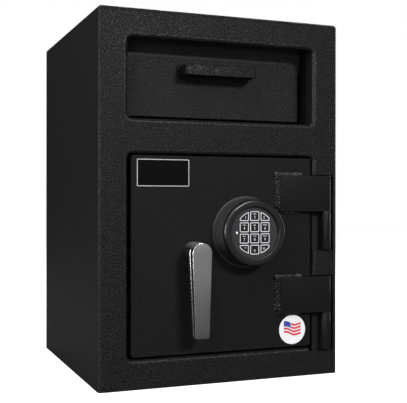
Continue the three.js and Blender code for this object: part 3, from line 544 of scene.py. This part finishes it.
# The profile carried along a path: each path point moves sideways by the inset; an open path's ends are flat
def framePart(path, profile, closed):
    if closed:
        rings = [intoSpace(insetOutline(path, inset), depth, "y") for inset, depth in profile]
        return gridPart(np.stack(rings), closeRows=True, closeColumns=True)
    left = leftOf(np.diff(path, axis=0))
    mitre = mitreOf(np.vstack((left[:1], left)), np.vstack((left, left[-1:])))
    grid = np.stack([intoSpace(path + inset * mitre, depth, "y") for inset, depth in profile])
    return gather([gridPart(grid, closeRows=True), capPart([grid[:, 0]]), capPart([grid[:, -1]])])


# Side wall: a plan with a quarter circle at the front, outer then inner skin, carried straight up
def sideWall():
    c = case
    bend, half, front, back, top, sheet = (c[k] for k in caseSizes)
    turn = quarterTurn(c["bendSteps"])
    fold = np.column_stack((-half + bend * (1 - np.cos(turn)), front + bend * (1 - np.sin(turn))))
    outer = np.vstack(([(-half, back), (-half, front + bend + flat)], fold, [(-half + bend + flat, front)]))
    inner = [(-half + bend + flat, front + sheet), (-half + sheet, front + sheet), (-half + sheet, back)]
    wall = np.vstack((outer, inner))
    grid = np.stack([intoSpace(wall, z, "z") for z in (0.0, top - bend - flat, top - bend)])
    return closedPart(grid)


# Top: a U-shaped plan drawn in by bend x (1 - cos) as it rises by bend x sin, its lid, and the ceiling below
def crownParts():
    c = case
    bend, half, front, back, top, sheet = (c[k] for k in caseSizes)
    lean = quarterTurn(c["bendSteps"])
    insets = np.append(0, bend * (1 - np.cos(lean)))
    heights = np.append(top - bend - flat, top - bend + bend * np.sin(lean))
    rings = []
    for inset, z in zip(insets, heights):
        radius = max(bend - inset, leastRadius)
        corners = lowCorners(half - inset, front + inset, radius, c["bendSteps"])
        plan = np.vstack(([(-half + inset, back)], corners, [(half - inset, back)]))
        rings.append(intoSpace(plan, z, "z"))
    grid = np.stack(rings)
    room, wall = half - sheet, front + sheet
    under = np.array([(room, back), (room, wall), (-room, wall), (-room, back)])
    return [gridPart(grid), capPart([grid[-1]]), capPart([intoSpace(under, top - sheet, "z")])]


# Front sheet, cut out beside the rolled edges and the hinge pockets; the roll follows each opening
def frontParts():
    c = case
    reach, corner, roll, front, top = (c[k] for k in ("openingHalf", "openingCorner", "roll", "front", "top"))
    drawer = roundedOutline(-reach, reach, *c["drawer"], corner, c["rollSteps"])
    low, high = c["door"]
    lowEnd, (highStart, highEnd) = c["lowPocketTop"], c["highPocket"]
    side, above = reach - corner, high - corner
    centres = ((side, above), (-side, above), (-side, low + corner))
    arcs, wideArcs = (quarterArcs(centres, r, c["rollSteps"]) for r in (corner, corner + roll + flat))
    path = np.vstack(([(reach, highEnd)], arcs, [(c["pocketLeft"], low)]))
    middle = np.array([(reach, lowEnd), (reach, highStart)])
    rims = [framePart(drawer, rollProfile(), True)]
    rims += [framePart(line, rollProfile(), False) for line in (path, middle)]
    wide, pocketLow = reach + roll + flat, low - roll - flat
    left, right = c["pocketLeft"], c["pocketRight"]
    grown = np.vstack(([(wide, highEnd)], wideArcs,
                       [(left, pocketLow), (right, pocketLow), (right, lowEnd), (wide, lowEnd),
                        (wide, highStart), (right, highStart), (right, highEnd)]))
    openings = [insetOutline(drawer, -roll - flat)[::-1], grown[::-1]]
    edge, under, over = c["halfWidth"] - c["bend"] - flat, top - c["bend"] - flat, top - c["bend"]
    sheet = np.array([(-edge, 0), (edge, 0), (edge, under), (-edge, under)], float)
    strip = np.array([(-edge, under), (edge, under), (edge, over), (-edge, over)], float)
    steps = [(0, front), (0, front + c["sheet"])]
    return [prismPart(sheet, steps, "y", openings), prismPart(strip, steps)], rims


def makeCase():
    side = sideWall()
    front, rims = frontParts()
    parts = [side, mirrorPart(side)] + crownParts() + front
    makePiece("caseShell", "cabinet", "powderCoat", parts, "cabinet_shell")
    makePiece("rolledEdges", "cabinet", "rimCoat", rims)


makeCase()
print("case folded")

door = {"x": (-133.5, 135.5), "z": (42.4, 312.4), "y": (-176.5, -163.8), "corner": 4.0, "edge": 0.9,
        "lever": (-46.5, 181.4), "bushHole": 8.3, "keypad": (32.5, 207.7), "cableHole": 6.0, "holeSteps": 32}


# A rounded rectangle with two round holes, thickened with rounded edges
def makeDoor():
    d = door
    outline = roundedOutline(*d["x"], *d["z"], d["corner"])
    holes = [circle(d["lever"], d["bushHole"], d["holeSteps"], True),
             circle(d["keypad"], d["cableHole"], d["holeSteps"], True)]
    part = prismPart(outline, edgeProfile(*d["y"], d["edge"]), "y", holes)
    makePiece("doorPlate", "door", "doorCoat", [part], "door_plate")


makeDoor()

hinge = {"pin": (160.0, -177.5), "barrel": 7.5, "bore": 5.3, "strapLeft": 84.0, "strapFront": -185.0,
         "strapRear": -176.8, "strap": (236.0, 287.5), "strapBevel": 0.8, "edge": 0.7, "wrapSteps": 40,
         "plateX": (142.2, 174.8), "plateY": (-169.0, -163.0), "plateZ": (171.5, 297.0), "plateEdge": 0.6,
         "seatBarrel": (181.0, 234.0), "seatEdge": 0.6, "seatSegments": 64,
         "webHalf": 4.0, "webFront": 3.0, "webRoot": 0.3, "webEdge": 0.4,
         "plug": (0.2, 4.0), "plugSlack": 0.01, "plugEdge": 0.3,  # closes the bore's lower end
         "drop": 145.0}
weld = {"leg": 5.9, "topLeg": 5.6, "lowLeg": 4.0, "run": 46.0, "lowShort": 9.0,
        "root": -176.6, "under": 1.0, "extra": 3.0,  # corner's depth, upright's start and extra length
        "topBack": 8.5, "topSink": 0.5, "lowBack": 1.5, "seeds": (3, 5, 8),
        "pitch": 4.4, "lump": 0.31, "wander": 0.18,
        "rowsPerMm": 4, "acrossSteps": 16, "nudgeEvery": 4, "nudge": 2.2, "curl": 1.6, "crest": 0.7,
        "rise": 1.4, "hollow": 0.2, "taper": 2.0, "sink": 0.3}


# Bead = corner + leg x (cos, sin) of the angle across, where the leg swells with ripples along the run
# and tapers at both ends
def beadPart(start, along, length, outward, leg, seed):
    w = weld
    s = np.linspace(0, length, int(length * w["rowsPerMm"]))
    across = quarterTurn(w["acrossSteps"])
    knots = int(length / w["nudgeEvery"]) + 2
    random = np.random.default_rng(seed)
    nudge = np.interp(s, np.linspace(0, length, knots), random.uniform(-1, 1, knots))
    phase = 2 * np.pi * s / w["pitch"] + w["nudge"] * nudge
    taper = np.clip(np.minimum(s, length - s) / w["taper"], 0, 1) ** 0.5
    ripple = np.abs(np.sin(phase[:, None] / 2 + w["curl"] * np.cos(2 * across)[None, :])) ** w["crest"]
    ripple = 1 - w["lump"] + w["rise"] * w["lump"] * ripple + w["wander"] * nudge[:, None]
    bulge = 1 - w["hollow"] * np.sin(2 * across)[None, :]
    reach = leg * taper[:, None] * ripple * bulge
    start, along, outward, rise = (np.asarray(v, float) for v in (start, along, outward, (0, -1, 0)))
    spine = (start + s[:, None] * along)[:, None, :]
    fan = np.cos(across)[None, :, None] * outward + np.sin(across)[None, :, None] * rise
    root = spine - w["sink"] * outward - w["sink"] * rise
    return gridPart(np.concatenate((spine + reach[:, :, None] * fan, root), axis=1), closeColumns=True)


# A flat bar whose end wraps the pin: an arc about the pin from the front face round to the rear one
def strapPart(drop):
    h = hinge
    pinX, pinY = h["pin"]
    touch = pinX - math.sqrt(h["barrel"] ** 2 - (h["strapRear"] - pinY) ** 2)
    rearAngle = math.degrees(math.atan2(h["strapRear"] - pinY, touch - pinX))
    left, front, bevel = h["strapLeft"], h["strapFront"], h["strapBevel"]
    wrap = arcPoints(h["pin"], h["barrel"], -90, rearAngle, h["wrapSteps"])
    outline = np.vstack(([(left + bevel, front)], wrap, [(left, h["strapRear"]), (left, front + bevel)]))
    low, high = (z - drop for z in h["strap"])
    return prismPart(outline, edgeProfile(low, high, h["edge"]), "z")


# The strap and its three beads ride on the door; the seat under it is a barrel, a web and a backing plate
def makeHinge(which, drop):
    h, w = hinge, weld
    low, high = (z - drop for z in h["strap"])
    left = h["strapLeft"]
    makePiece(which + "HingeStrap", "door", "smoothCoat", [strapPart(drop)], which + "_hinge_strap")
    runs = (  # start across and up, direction, length, outward, leg
        (left, low - w["under"], (0, 0, 1), high - low + w["extra"], (-1, 0, 0), w["leg"]),
        (left - w["topBack"], high - w["topSink"], (1, 0, 0), w["run"], (0, 0, 1), w["topLeg"]),
        (left - w["lowBack"], low, (1, 0, 0), w["run"] - w["lowShort"], (0, 0, -1), w["lowLeg"]),
    )
    beads = [beadPart((x, w["root"], z), *run, seed) for (x, z, *run), seed in zip(runs, w["seeds"])]
    makePiece(which + "HingeWeld", "door", "weldCoat", beads)
    plateZ, seatZ = ([z - drop for z in h[k]] for k in ("plateZ", "seatBarrel"))
    backing = blockPart(h["plateX"], h["plateY"], plateZ, h["plateEdge"])
    # the backing plate's lighter paint is painted light for the shaded hinge pocket
    makePiece(which + "HingeBacking", "cabinet", "pocketLitCoat", [backing])
    pinX, pinY = h["pin"]
    webX = (pinX - h["webHalf"], pinX + h["webHalf"])
    webY = (pinY + h["webFront"], h["plateY"][0] + h["webRoot"])
    near, far = (seatZ[0] + step for step in h["plug"])
    seat = [blockPart(webX, webY, seatZ, h["webEdge"]),
            tubePart(h["bore"], h["barrel"], *seatZ, (pinX, pinY, 0), "z", h["seatEdge"], h["seatSegments"]),
            barPart(h["bore"] - h["plugSlack"], near, far, (pinX, pinY, 0), "z", h["plugEdge"])]
    makePiece(which + "HingeSeat", "cabinet", "smoothCoat", seat, which + "_hinge_seat")


makeHinge("upper", 0)
makeHinge("lower", hinge["drop"])
print("door and hinges hung")

hopper = {"pivot": (-128.5, 377.0), "halfWidth": 134.7, "z": (368.0, 452.0), "front": -138.5, "back": -135.5,
          "corner": 1.5, "edge": 0.6, "seam": 0.3,
          "binHalf": 129.7, "binSheet": 2.5, "binEdge": 0.5, "inset": 0.1, "foot": 3.0,
          "sideRadius": 65.0, "sideAngle": 28.0, "sideSteps": 24, "tailLength": 110.0, "tailAngle": -20.0,
          "tube": 6.3, "bore": 4.4, "flangeWidth": 15.0, "flangeInset": 0.05}
pull = {"halfPlate": 56.5, "plateZ": (422.3, 442.8), "plateY": (-140.8, -138.8), "corner": 3.0,
        "plateEdge": 0.6, "halfHood": 52.75, "lip": -168.5, "hoodLow": 425.0, "hoodHigh": 440.5, "sheet": 2.0,
        "round": 2.2, "roundShare": 1.3, "lipRound": 0.4, "insideRound": 0.6,
        "overlap": 1.0, "cornerSteps": 8, "roundSteps": 6}


# Panel, then a bin whose side is an arc about the pivot over a sloping tail
def makeHopper():
    h = hopper
    panel = prismPart(roundedOutline(-h["halfWidth"], h["halfWidth"], *h["z"], h["corner"]),
                      edgeProfile(h["front"], h["back"], h["edge"]))
    # the panel's lighter paint is painted light for its place in the recess
    makePiece("hopperPanel", "hopper", "drawerLitCoat", [panel], "hopper_panel")
    pivotY, pivotZ = h["pivot"]
    frontFace = h["back"] + h["seam"] - pivotY
    frontTop = math.sqrt(h["sideRadius"] ** 2 - frontFace ** 2)
    startAngle = math.degrees(math.atan2(frontTop, frontFace))
    tail = math.radians(h["tailAngle"])
    cosTail, sinTail = math.cos(tail), math.sin(tail)
    tube, end, half, sheet = h["tube"], h["tailLength"], h["binHalf"], h["binSheet"]

    # a point so far down the tail and so far off its line, seen from the pivot
    def along(distance, lift):
        return (distance * cosTail - lift * sinTail, distance * sinTail + lift * cosTail)

    centre = np.array(h["pivot"])
    tailLine = [(frontFace, h["z"][0] + h["foot"] - pivotZ), (0, -tube)]
    tailLine += [along(tube, -tube), along(end, -tube), along(end, 0)]
    arc = arcPoints((0, 0), h["sideRadius"], h["sideAngle"], startAngle, h["sideSteps"])
    side = np.vstack((tailLine, arc)) + centre
    corners = ((0, -tube), (end, -tube), (end, sheet - tube), (0, sheet - tube))
    strip = np.array([along(*corner) for corner in corners]) + centre
    near, far = -half + h["inset"], half - h["inset"]
    walls = [(side, x, x + sheet) for x in (half - sheet, -half)] + [(strip, near, far)]
    parts = [prismPart(outline, edgeProfile(start, stop, h["binEdge"], steps=fewSteps), "x")
             for outline, start, stop in walls]
    parts.append(tubePart(h["bore"], tube, near, far, (0, *centre), "x"))
    for sign in (-1, 1):
        edges = sorted((sign * (half - h["flangeInset"]), sign * (half - h["flangeWidth"])))
        depth = (frontFace + pivotY, frontFace + sheet + pivotY)
        parts.append(blockPart(edges, depth, (tube + pivotZ, frontTop + pivotZ), h["binEdge"]))
    makePiece("hopperBin", "hopper", "smoothCoat", parts, "hopper_bin")


# Plate, and a hood open below: its plan has two rounded corners and moves in round the lip and the top edge
def makePull():
    p = pull
    plate = prismPart(roundedOutline(-p["halfPlate"], p["halfPlate"], *p["plateZ"], p["corner"]),
                      edgeProfile(*p["plateY"], p["plateEdge"]))
    half, corner, rear, few = p["halfHood"], p["corner"], p["plateY"][0] + p["overlap"], p["cornerSteps"]
    plan = np.vstack((lowCorners(half, p["lip"], corner, few), [(half, rear), (-half, rear)]))
    angle = quarterTurn(p["roundSteps"])
    r, s, low, high = p["round"], p["sheet"], p["hoodLow"], p["hoodHigh"]
    step, lip = p["insideRound"], p["lipRound"]
    inner = [(s + 2 * step, high - s), (s + step, high - s), (s, high - s - step)]
    outer = [(s, low + lip), (s - lip, low), (lip, low), (0, low + lip)]
    outer += zip(r * (1 - np.cos(angle)), high - r + r * np.sin(angle))
    hood = prismPart(plan, inner + outer + [(r * p["roundShare"], high)], "z")
    makePiece("hopperPull", "hopper", "powderCoat", [plate, hood], "hopper_pull")


makeHopper()
makePull()

guard = {"half": 141.9, "y": (-131.5, -129.0), "z": (441.8, 504.3), "inner": 112.9, "outer": 115.4,
         "low": 35.0, "edge": 0.4, "steps": 40, "inset": 0.1,
         "ledge": 2.5, "ledgeFront": 0.4, "ledgeRear": 3.0}


# A strip between two arcs about the drawer's pivot, a flange hanging in front of it, and a ledge between them
def makeGuard():
    g = guard
    centre, half, edge = hopper["pivot"], g["half"], g["edge"]
    strip = np.vstack((arcPoints(centre, g["outer"], g["low"], 90, g["steps"]),
                       arcPoints(centre, g["inner"], 90, g["low"], g["steps"])))
    low = centre[1] + g["inner"]
    ledgeX = (-half + g["inset"], half - g["inset"])
    ledgeY = (g["y"][0] + g["ledgeFront"], centre[0] + g["ledgeRear"])
    parts = [prismPart(strip, edgeProfile(-half, half, edge, steps=fewSteps), "x"),
             blockPart((-half, half), g["y"], g["z"], edge),
             blockPart(ledgeX, ledgeY, (low, low + g["ledge"]), edge)]
    # the guard's lighter paint is painted light standing in for the light its shaded place lacks
    makePiece("fishGuard", "cabinet", "guardLitCoat", parts, "fish_guard")


makeGuard()
print("deposit drawer in")

keypad = {"centre": (32.5, 207.7), "front": -176.5, "seam": 0.3, "segments": 128,
          "cable": 6.0, "foot": 50.0, "footHeight": 2.5, "footRound": 0.8, "floor": 2.8,
          "body": 47.5, "rim": 45.5, "height": 34.0, "skirt": 8.0, "wallSteps": 12, "wallCurve": 1.6,
          "seatOuter": 42.8, "seatInner": 40.3, "seatHeight": 27.1,
          "bezelInner": 35.5, "bezelRound": 3.2, "bezelLip": 1.1, "bezelFoot": 0.9, "bezelSeat": 43.1,
          "rimSteps": 8, "lipSteps": 6, "lampSteps": 24, "lensSegments": 32,
          "faceTop": 29.8, "face": 2.4, "roundSteps": 96,
          "led": 25.8, "ledRadius": 1.8, "ledFoot": 24.6, "ledDome": ((0, 0.6), (0.9, 0.5), (1.5, 0.2)),
          "keyTop": 31.0, "keyFoot": 26.8, "keyEdge": 0.45, "key": (13.6, 13.4),
          "columns": 3, "rows": 4, "column": 15.6, "row": 15.3, "cornerSteps": 6,
          "keyCorner": 1.6, "leastCorner": 0.3, "clip": 29.9, "flange": (27.1, 25.9), "flangeGrow": 0.6}
printing = {"ring": (0.15, 1.15), "lift": 0.06, "sink": 0.2, "thick": 0.05, "curveSteps": 4,
            "sign": 5.0, "signDrop": 1.6, "cornerDrop": 0.3, "cornerShift": (1.8, 1.9),
            "letters": 2.7, "lettersRise": 2.9}
keyNames = ("1", "2", "3", "4", "5", "6", "7", "8", "9", "star", "0", "hash")
keyLetters = {"2": "ABC", "4": "GHI", "5": "JKL", "6": "MNO", "7": "PRS", "8": "TUV", "9": "WXY"}


# A turned ring round a centre; its heights are measured out of the door, so they are taken from its face
def turnedOut(profile, x, z, segments):
    steps = [(radius, keypad["front"] - height) for radius, height in profile]
    return lathePart(steps, (x, 0.0, z), "y", segments)


# A rounded rectangle whose points beyond the round field are drawn back onto its circle
def keyOutline(place, grow=0.0):
    k = keypad
    wide, high = (size / 2 + grow for size in k["key"])
    outline = roundedOutline(place[0] - wide, place[0] + wide, place[1] - high, place[1] + high,
                             max(k["keyCorner"] + grow, k["leastCorner"]), k["cornerSteps"])
    closed = np.vstack((outline, outline[:1]))
    run = np.concatenate(([0], np.cumsum(np.linalg.norm(np.diff(closed, axis=0), axis=1))))
    at = np.linspace(0, run[-1], k["roundSteps"], endpoint=False)
    dense = np.column_stack((np.interp(at, run, closed[:, 0]), np.interp(at, run, closed[:, 1])))
    distance = np.linalg.norm(dense, axis=1, keepdims=True)
    return dense * np.minimum(1, (k["clip"] + grow) / distance)


# Columns and rows about the middle, from the top left
def keyPlaces():
    k = keypad
    columns, rows = k["columns"], k["rows"]
    return [((i % columns - (columns - 1) / 2) * k["column"], ((rows - 1) / 2 - i // columns) * k["row"])
            for i in range(columns * rows)]


# Housing and bezel are turned profiles; the face is a disc with a window for each key and the lamp
def makeKeypad():
    k = keypad
    cx, cz = k["centre"]
    seam, foot, footHeight, r = k["seam"], k["foot"], k["footHeight"], k["footRound"]
    shoulder, top, turns = k["height"] - k["skirt"], k["height"], k["segments"]
    curve = np.linspace(0, 1, k["wallSteps"])
    wall = np.column_stack((k["body"] + (k["rim"] - k["body"]) * curve ** k["wallCurve"],
                            footHeight + (shoulder - footHeight) * curve))
    rim = roundCorner(foot - r, seam + r, r, -90) + roundCorner(foot - r, footHeight - r, r, 0)
    seat = [(k["seatOuter"], shoulder), (k["seatOuter"], k["seatHeight"]), (k["seatInner"], k["seatHeight"])]
    seat += [(k["seatInner"], k["floor"]), (k["cable"], k["floor"])]
    housing = [(k["cable"], seam)] + rim + [(k["body"] + seam, footHeight)] + wall[1:].tolist() + seat
    # the housing's lighter black is painted light
    makePiece("keypadHousing", "door", "housingLitBlack", [turnedOut(housing, cx, cz, turns)],
              "keypad_housing")
    r, lip, rest = k["bezelRound"], k["bezelLip"], k["faceTop"] + seam
    bezel = [(k["rim"], shoulder + seam), (k["rim"], shoulder + k["bezelFoot"])]
    bezel += roundCorner(k["rim"] - r, top - r, r, 0, k["rimSteps"])
    bezel += roundCorner(k["bezelInner"] + lip, top - lip, lip, 90, k["lipSteps"])
    bezel += [(k["bezelInner"], rest), (k["bezelSeat"], rest), (k["bezelSeat"], shoulder + seam)]
    makePiece("keypadBezel", "door", "bezelBlack", [turnedOut(bezel, cx, cz, turns)],
              "keypad_bezel")
    lamp = cx - k["led"]
    windows = [(keyOutline(place, seam) + k["centre"])[::-1] for place in keyPlaces()]
    windows.append(circle((lamp, cz), k["ledRadius"] + seam, k["lampSteps"], True))
    near = k["front"] - k["faceTop"]
    disc = circle(k["centre"], k["seatOuter"], k["roundSteps"])
    face = prismPart(disc, [(0, near), (0, near + k["face"])], "y", windows)
    makePiece("keypadFace", "door", "facePlastic", [face], "keypad_face")
    led = [(radius, k["faceTop"] + rise) for radius, rise in k["ledDome"]]
    led += [(k["ledRadius"], k["faceTop"] - seam), (k["ledRadius"], k["ledFoot"]), (0, k["ledFoot"])]
    lens = turnedOut(led, lamp, cz, k["lensSegments"])
    makePiece("ledLens", "door", "whitePrint", [lens], "led_lens")


# Text made a mesh, then its points placed: across and up about the centre, thickness out of the key
def textPart(text, size, centre, y):
    curve = bpy.data.curves.new("lettering", "FONT")
    curve.body, curve.size, curve.extrude = text, size * mm, printing["thick"] * mm
    curve.resolution_u = printing["curveSteps"]
    curve.align_x, curve.align_y = "CENTER", "CENTER"
    holder = bpy.data.objects.new("lettering", curve)
    scene.collection.objects.link(holder)
    bpy.context.view_layer.update()
    mesh = bpy.data.meshes.new_from_object(holder.evaluated_get(bpy.context.evaluated_depsgraph_get()))
    points = np.empty(len(mesh.vertices) * 3)
    mesh.vertices.foreach_get("co", points)
    points = points.reshape(-1, 3) / mm
    faces = [list(p.vertices) for p in mesh.polygons]
    bpy.data.objects.remove(holder)
    bpy.data.curves.remove(curve)
    bpy.data.meshes.remove(mesh)
    return np.column_stack((points[:, 0] + centre[0], y - points[:, 2], points[:, 1] + centre[1])), faces


# A stem through the face, a flange behind it, and a printed ring between two insets of the outline
def makeKeys():
    k, p = keypad, printing
    shift, keyFront = np.array(k["centre"]), k["front"] - k["keyTop"]
    for name, place in zip(keyNames, keyPlaces()):
        edges = edgeProfile(keyFront, k["front"] - k["keyFoot"], k["keyEdge"], 0, steps=fewSteps)
        flangeSteps = [(0, k["front"] - height) for height in k["flange"]]
        stem = prismPart(keyOutline(place) + shift, edges)
        flange = prismPart(keyOutline(place, k["flangeGrow"]) + shift, flangeSteps)
        body, title = "key_%s_body" % name, "key" + name.capitalize()
        makePiece(title, body, "blackRubber", [stem, flange], "key_" + name)
        outer, inner = (keyOutline(place, -inset) + shift for inset in p["ring"])
        above, below = keyFront - p["lift"], keyFront + p["sink"]
        loops = ((outer, above), (inner, above), (inner, below), (outer, below))
        ring = gridPart(np.stack([intoSpace(loop, y, "y") for loop, y in loops]), True, True)
        sign = {"star": "*", "hash": "#"}.get(name, name)
        cornerKey = abs(place[0]) > 0 and abs(place[1]) > k["row"]  # cut by the field: its sign moves in
        cx, cz = np.array(place) - np.sign(place) * (p["cornerShift"] if cornerKey else (0, 0)) + shift
        drop, y = p["cornerDrop"] if cornerKey else p["signDrop"], keyFront - p["thick"]
        printed = [ring, textPart(sign, p["sign"], (cx, cz - drop), y)]
        if name in keyLetters and not cornerKey:
            printed.append(textPart(keyLetters[name], p["letters"], (cx, cz + p["lettersRise"]), y))
        makePiece(title + "Print", body, "keyPrint", printed, None)


makeKeypad()
makeKeys()
print("keypad in")

lever = {"axis": (-46.5, 181.4), "front": -214.5, "head": 14.7, "length": 114.0, "tipHalf": 11.0,
         "tipCorner": 4.0, "headSteps": 48, "tipSteps": 10, "headThick": 20.0, "tipThick": 10.0,
         "rim": 0.9, "rimSteps": 8,
         "ledge": 0.7, "ledgeAt": 0.5, "ledgeSteps": ((1, -0.1), (0.8, 0.1), (0.1, 0.9), (0, 1.2)),
         "backSteps": ((0, -0.8), (0.8, 0.0), (1.4, 0.0)),
         "crown": 0.45, "faceShares": (0.02, 0.2, 0.4, 0.6, 0.8, 0.9, 0.96),
         "neck": 14.0, "neckRear": -177.0, "neckEdge": 0.6, "neckFlare": 4.0, "neckInset": 0.8,
         "neckSink": 0.4,
         "segments": 96, "crisp": 40}


# Arm: a half circle tapering to a tip, carried back by (inset, depth, share of the thickness) steps, which
# are a quarter circle, a side with a small ledge half way down, and a sloping back
def makeLever():
    v = lever
    axisX, axisZ = v["axis"]
    tip = -v["length"]
    outline = np.vstack((arcPoints((0, 0), v["head"], 0, 180, v["headSteps"]),
                         lowCorners(v["tipHalf"], tip, v["tipCorner"], v["tipSteps"])))
    rim, ledge, angle = v["rim"], v["ledge"], quarterTurn(v["rimSteps"])
    steps = [(ledge + rim * (1 - math.sin(a)), rim * (1 - math.cos(a)), 0) for a in angle]
    steps += [(ledge * share, depth, v["ledgeAt"]) for share, depth in v["ledgeSteps"]]
    steps += [(inset, depth, 1) for inset, depth in v["backSteps"]]
    rings = []
    for inset, depth, share in steps:
        ring = insetOutline(outline, inset)
        thick = v["headThick"] + (v["tipThick"] - v["headThick"]) * np.clip(-ring[:, 1] / v["length"], 0, 1)
        y = v["front"] + depth + thick * share
        rings.append(np.column_stack((ring[:, 0] + axisX, y, ring[:, 1] + axisZ)))
    # crowned face: the first ring drawn in to the middle line by f, and raised by crown x (1 - f squared)
    middle = rings[0].copy()
    middle[:, 0] = axisX
    middle[:, 2] = np.clip(middle[:, 2], axisZ + tip + v["tipHalf"], axisZ)
    face = []
    for f in v["faceShares"]:
        ring = middle + f * (rings[0] - middle)
        ring[:, 1] = v["front"] - v["crown"] * (1 - f * f)
        face.append(ring)
    arm = closedPart(np.stack(face + rings))
    rear, neck, edge = v["neckRear"], v["neck"], v["neckEdge"]
    join = v["front"] + v["headThick"] - v["neckSink"]
    profile = [(0, rear), (neck - edge, rear), (neck, rear - edge), (neck, join + v["neckFlare"]),
               (v["head"] - v["neckInset"], join), (0, join)]
    stem = lathePart(profile, (axisX, 0, axisZ), "y", v["segments"])
    makePiece("leverHandle", "lever", "satinChrome", [arm, stem], "lever_handle", v["crisp"])


makeLever()

nameplate = {"x": (-126.25, -51.75), "z": (270.5, 307.5), "y": (-177.6, -176.8), "corner": 1.5, "edge": 0.2,
             "margin": 0.15, "border": 1.3, "lift": 0.04, "sink": 0.2}
label = {"centre": (106.1, 67.0), "radius": 20.8, "y": (-177.3, -176.8), "edge": 0.15, "roundSteps": 96,
         "left": -13.5, "top": 10.0, "wide": 27.0, "wave": 1.6, "waves": 1.1, "phase": 0.6, "lean": -0.12,
         "bands": 4, "band": 2.9, "pitch": 1.6, "bandSteps": 28, "shortBands": 2, "shortStart": 0.42,
         "patchEnd": 0.4, "patchRows": 2.7, "patchSteps": 12, "lift": 0.04, "sink": 0.1}


# A shape printed on a plate: a thin prism from just above the plate's face to just under it
def printPart(outline, plate, holes=()):
    front = plate["y"][0]
    return prismPart(outline, [(0, front - plate["lift"]), (0, front + plate["sink"])], "y", holes)


# A thin waving strip: height falls by a row's pitch, plus a sine and a slope of the place across
def wavyBand(across, row, rows=1):
    g = label
    x = g["left"] + g["wide"] * across
    lift = g["top"] + g["wave"] * np.sin(2 * np.pi * across * g["waves"] + g["phase"]) + g["lean"] * x
    top = lift - g["pitch"] * g["band"] * row
    low = top - g["band"] * rows
    outline = np.vstack((np.column_stack((x, top))[::-1], np.column_stack((x, low)))) + g["centre"]
    return printPart(outline, g)


# A bare plate with a raised border line, and a round label with plain bands and a patch
def makePlates():
    n, g = nameplate, label
    outline = roundedOutline(*n["x"], *n["z"], n["corner"])
    plate = prismPart(outline, edgeProfile(*n["y"], n["edge"]))
    makePiece("nameplate", "door", "plateField", [plate], "nameplate")
    border = printPart(insetOutline(outline, n["margin"]), n, [insetOutline(outline, n["border"])[::-1]])
    makePiece("nameplateBorder", "door", "silverInk", [border], None)
    disc = prismPart(circle(g["centre"], g["radius"], g["roundSteps"]), edgeProfile(*g["y"], g["edge"]))
    makePiece("roundLabel", "door", "whitePrint", [disc], "round_label")
    starts = [g["shortStart"] if row < g["shortBands"] else 0.0 for row in range(g["bands"])]
    bands = [wavyBand(np.linspace(start, 1, g["bandSteps"]), row) for row, start in enumerate(starts)]
    patch = wavyBand(np.linspace(0, g["patchEnd"], g["patchSteps"]), 0, g["patchRows"])
    makePiece("labelBands", "door", "redPrint", bands, None)
    makePiece("labelPatch", "door", "bluePrint", [patch], None)


makePlates()
print("lever and plates on")

screw = {"head": 4.2, "rise": 2.4, "dome": 55, "domeSteps": 6, "turns": 48, "socket": 1.7, "deep": 1.5,
         "foot": 0.3, "coverY": -161.5, "coverX": (-96.0, -10.0, 76.0), "coverZ": (51.4, 303.4)}


# Button head: radius = head x cos and height = rise x sin of the dome angle, then a socket whose radius is
# a hexagon's in each direction
def screwHead(x, y, z):
    w = screw
    turn = np.linspace(0, 2 * np.pi, w["turns"], endpoint=False)
    hexagon = w["socket"] / np.cos((turn + np.pi / 6) % (np.pi / 3) - np.pi / 6)
    dome = np.radians(np.linspace(0, w["dome"], w["domeSteps"] + 1))
    still = np.ones(w["turns"])
    radii = [0 * still, w["head"] * still] + [r * still for r in w["head"] * np.cos(dome)]
    radius = np.array(radii + [hexagon, hexagon, 0 * still])
    foot, top = w["foot"], w["rise"] * math.sin(dome[-1])
    bottom = top - w["deep"]
    heights = [-foot, -foot] + (w["rise"] * np.sin(dome)).tolist() + [top, bottom, bottom - foot]
    height = np.array(heights)[:, None] * still
    grid = np.stack((x + radius * np.cos(turn), y + height, z + radius * np.sin(turn)), -1)
    return gridPart(grid, closeColumns=True)


def makeCoverScrews():
    heads = [screwHead(x, screw["coverY"], z) for x in screw["coverX"] for z in screw["coverZ"]]
    makePiece("coverScrews", "door", "platedSteel", heads, None)


makeCoverScrews()
print("cover screwed on")
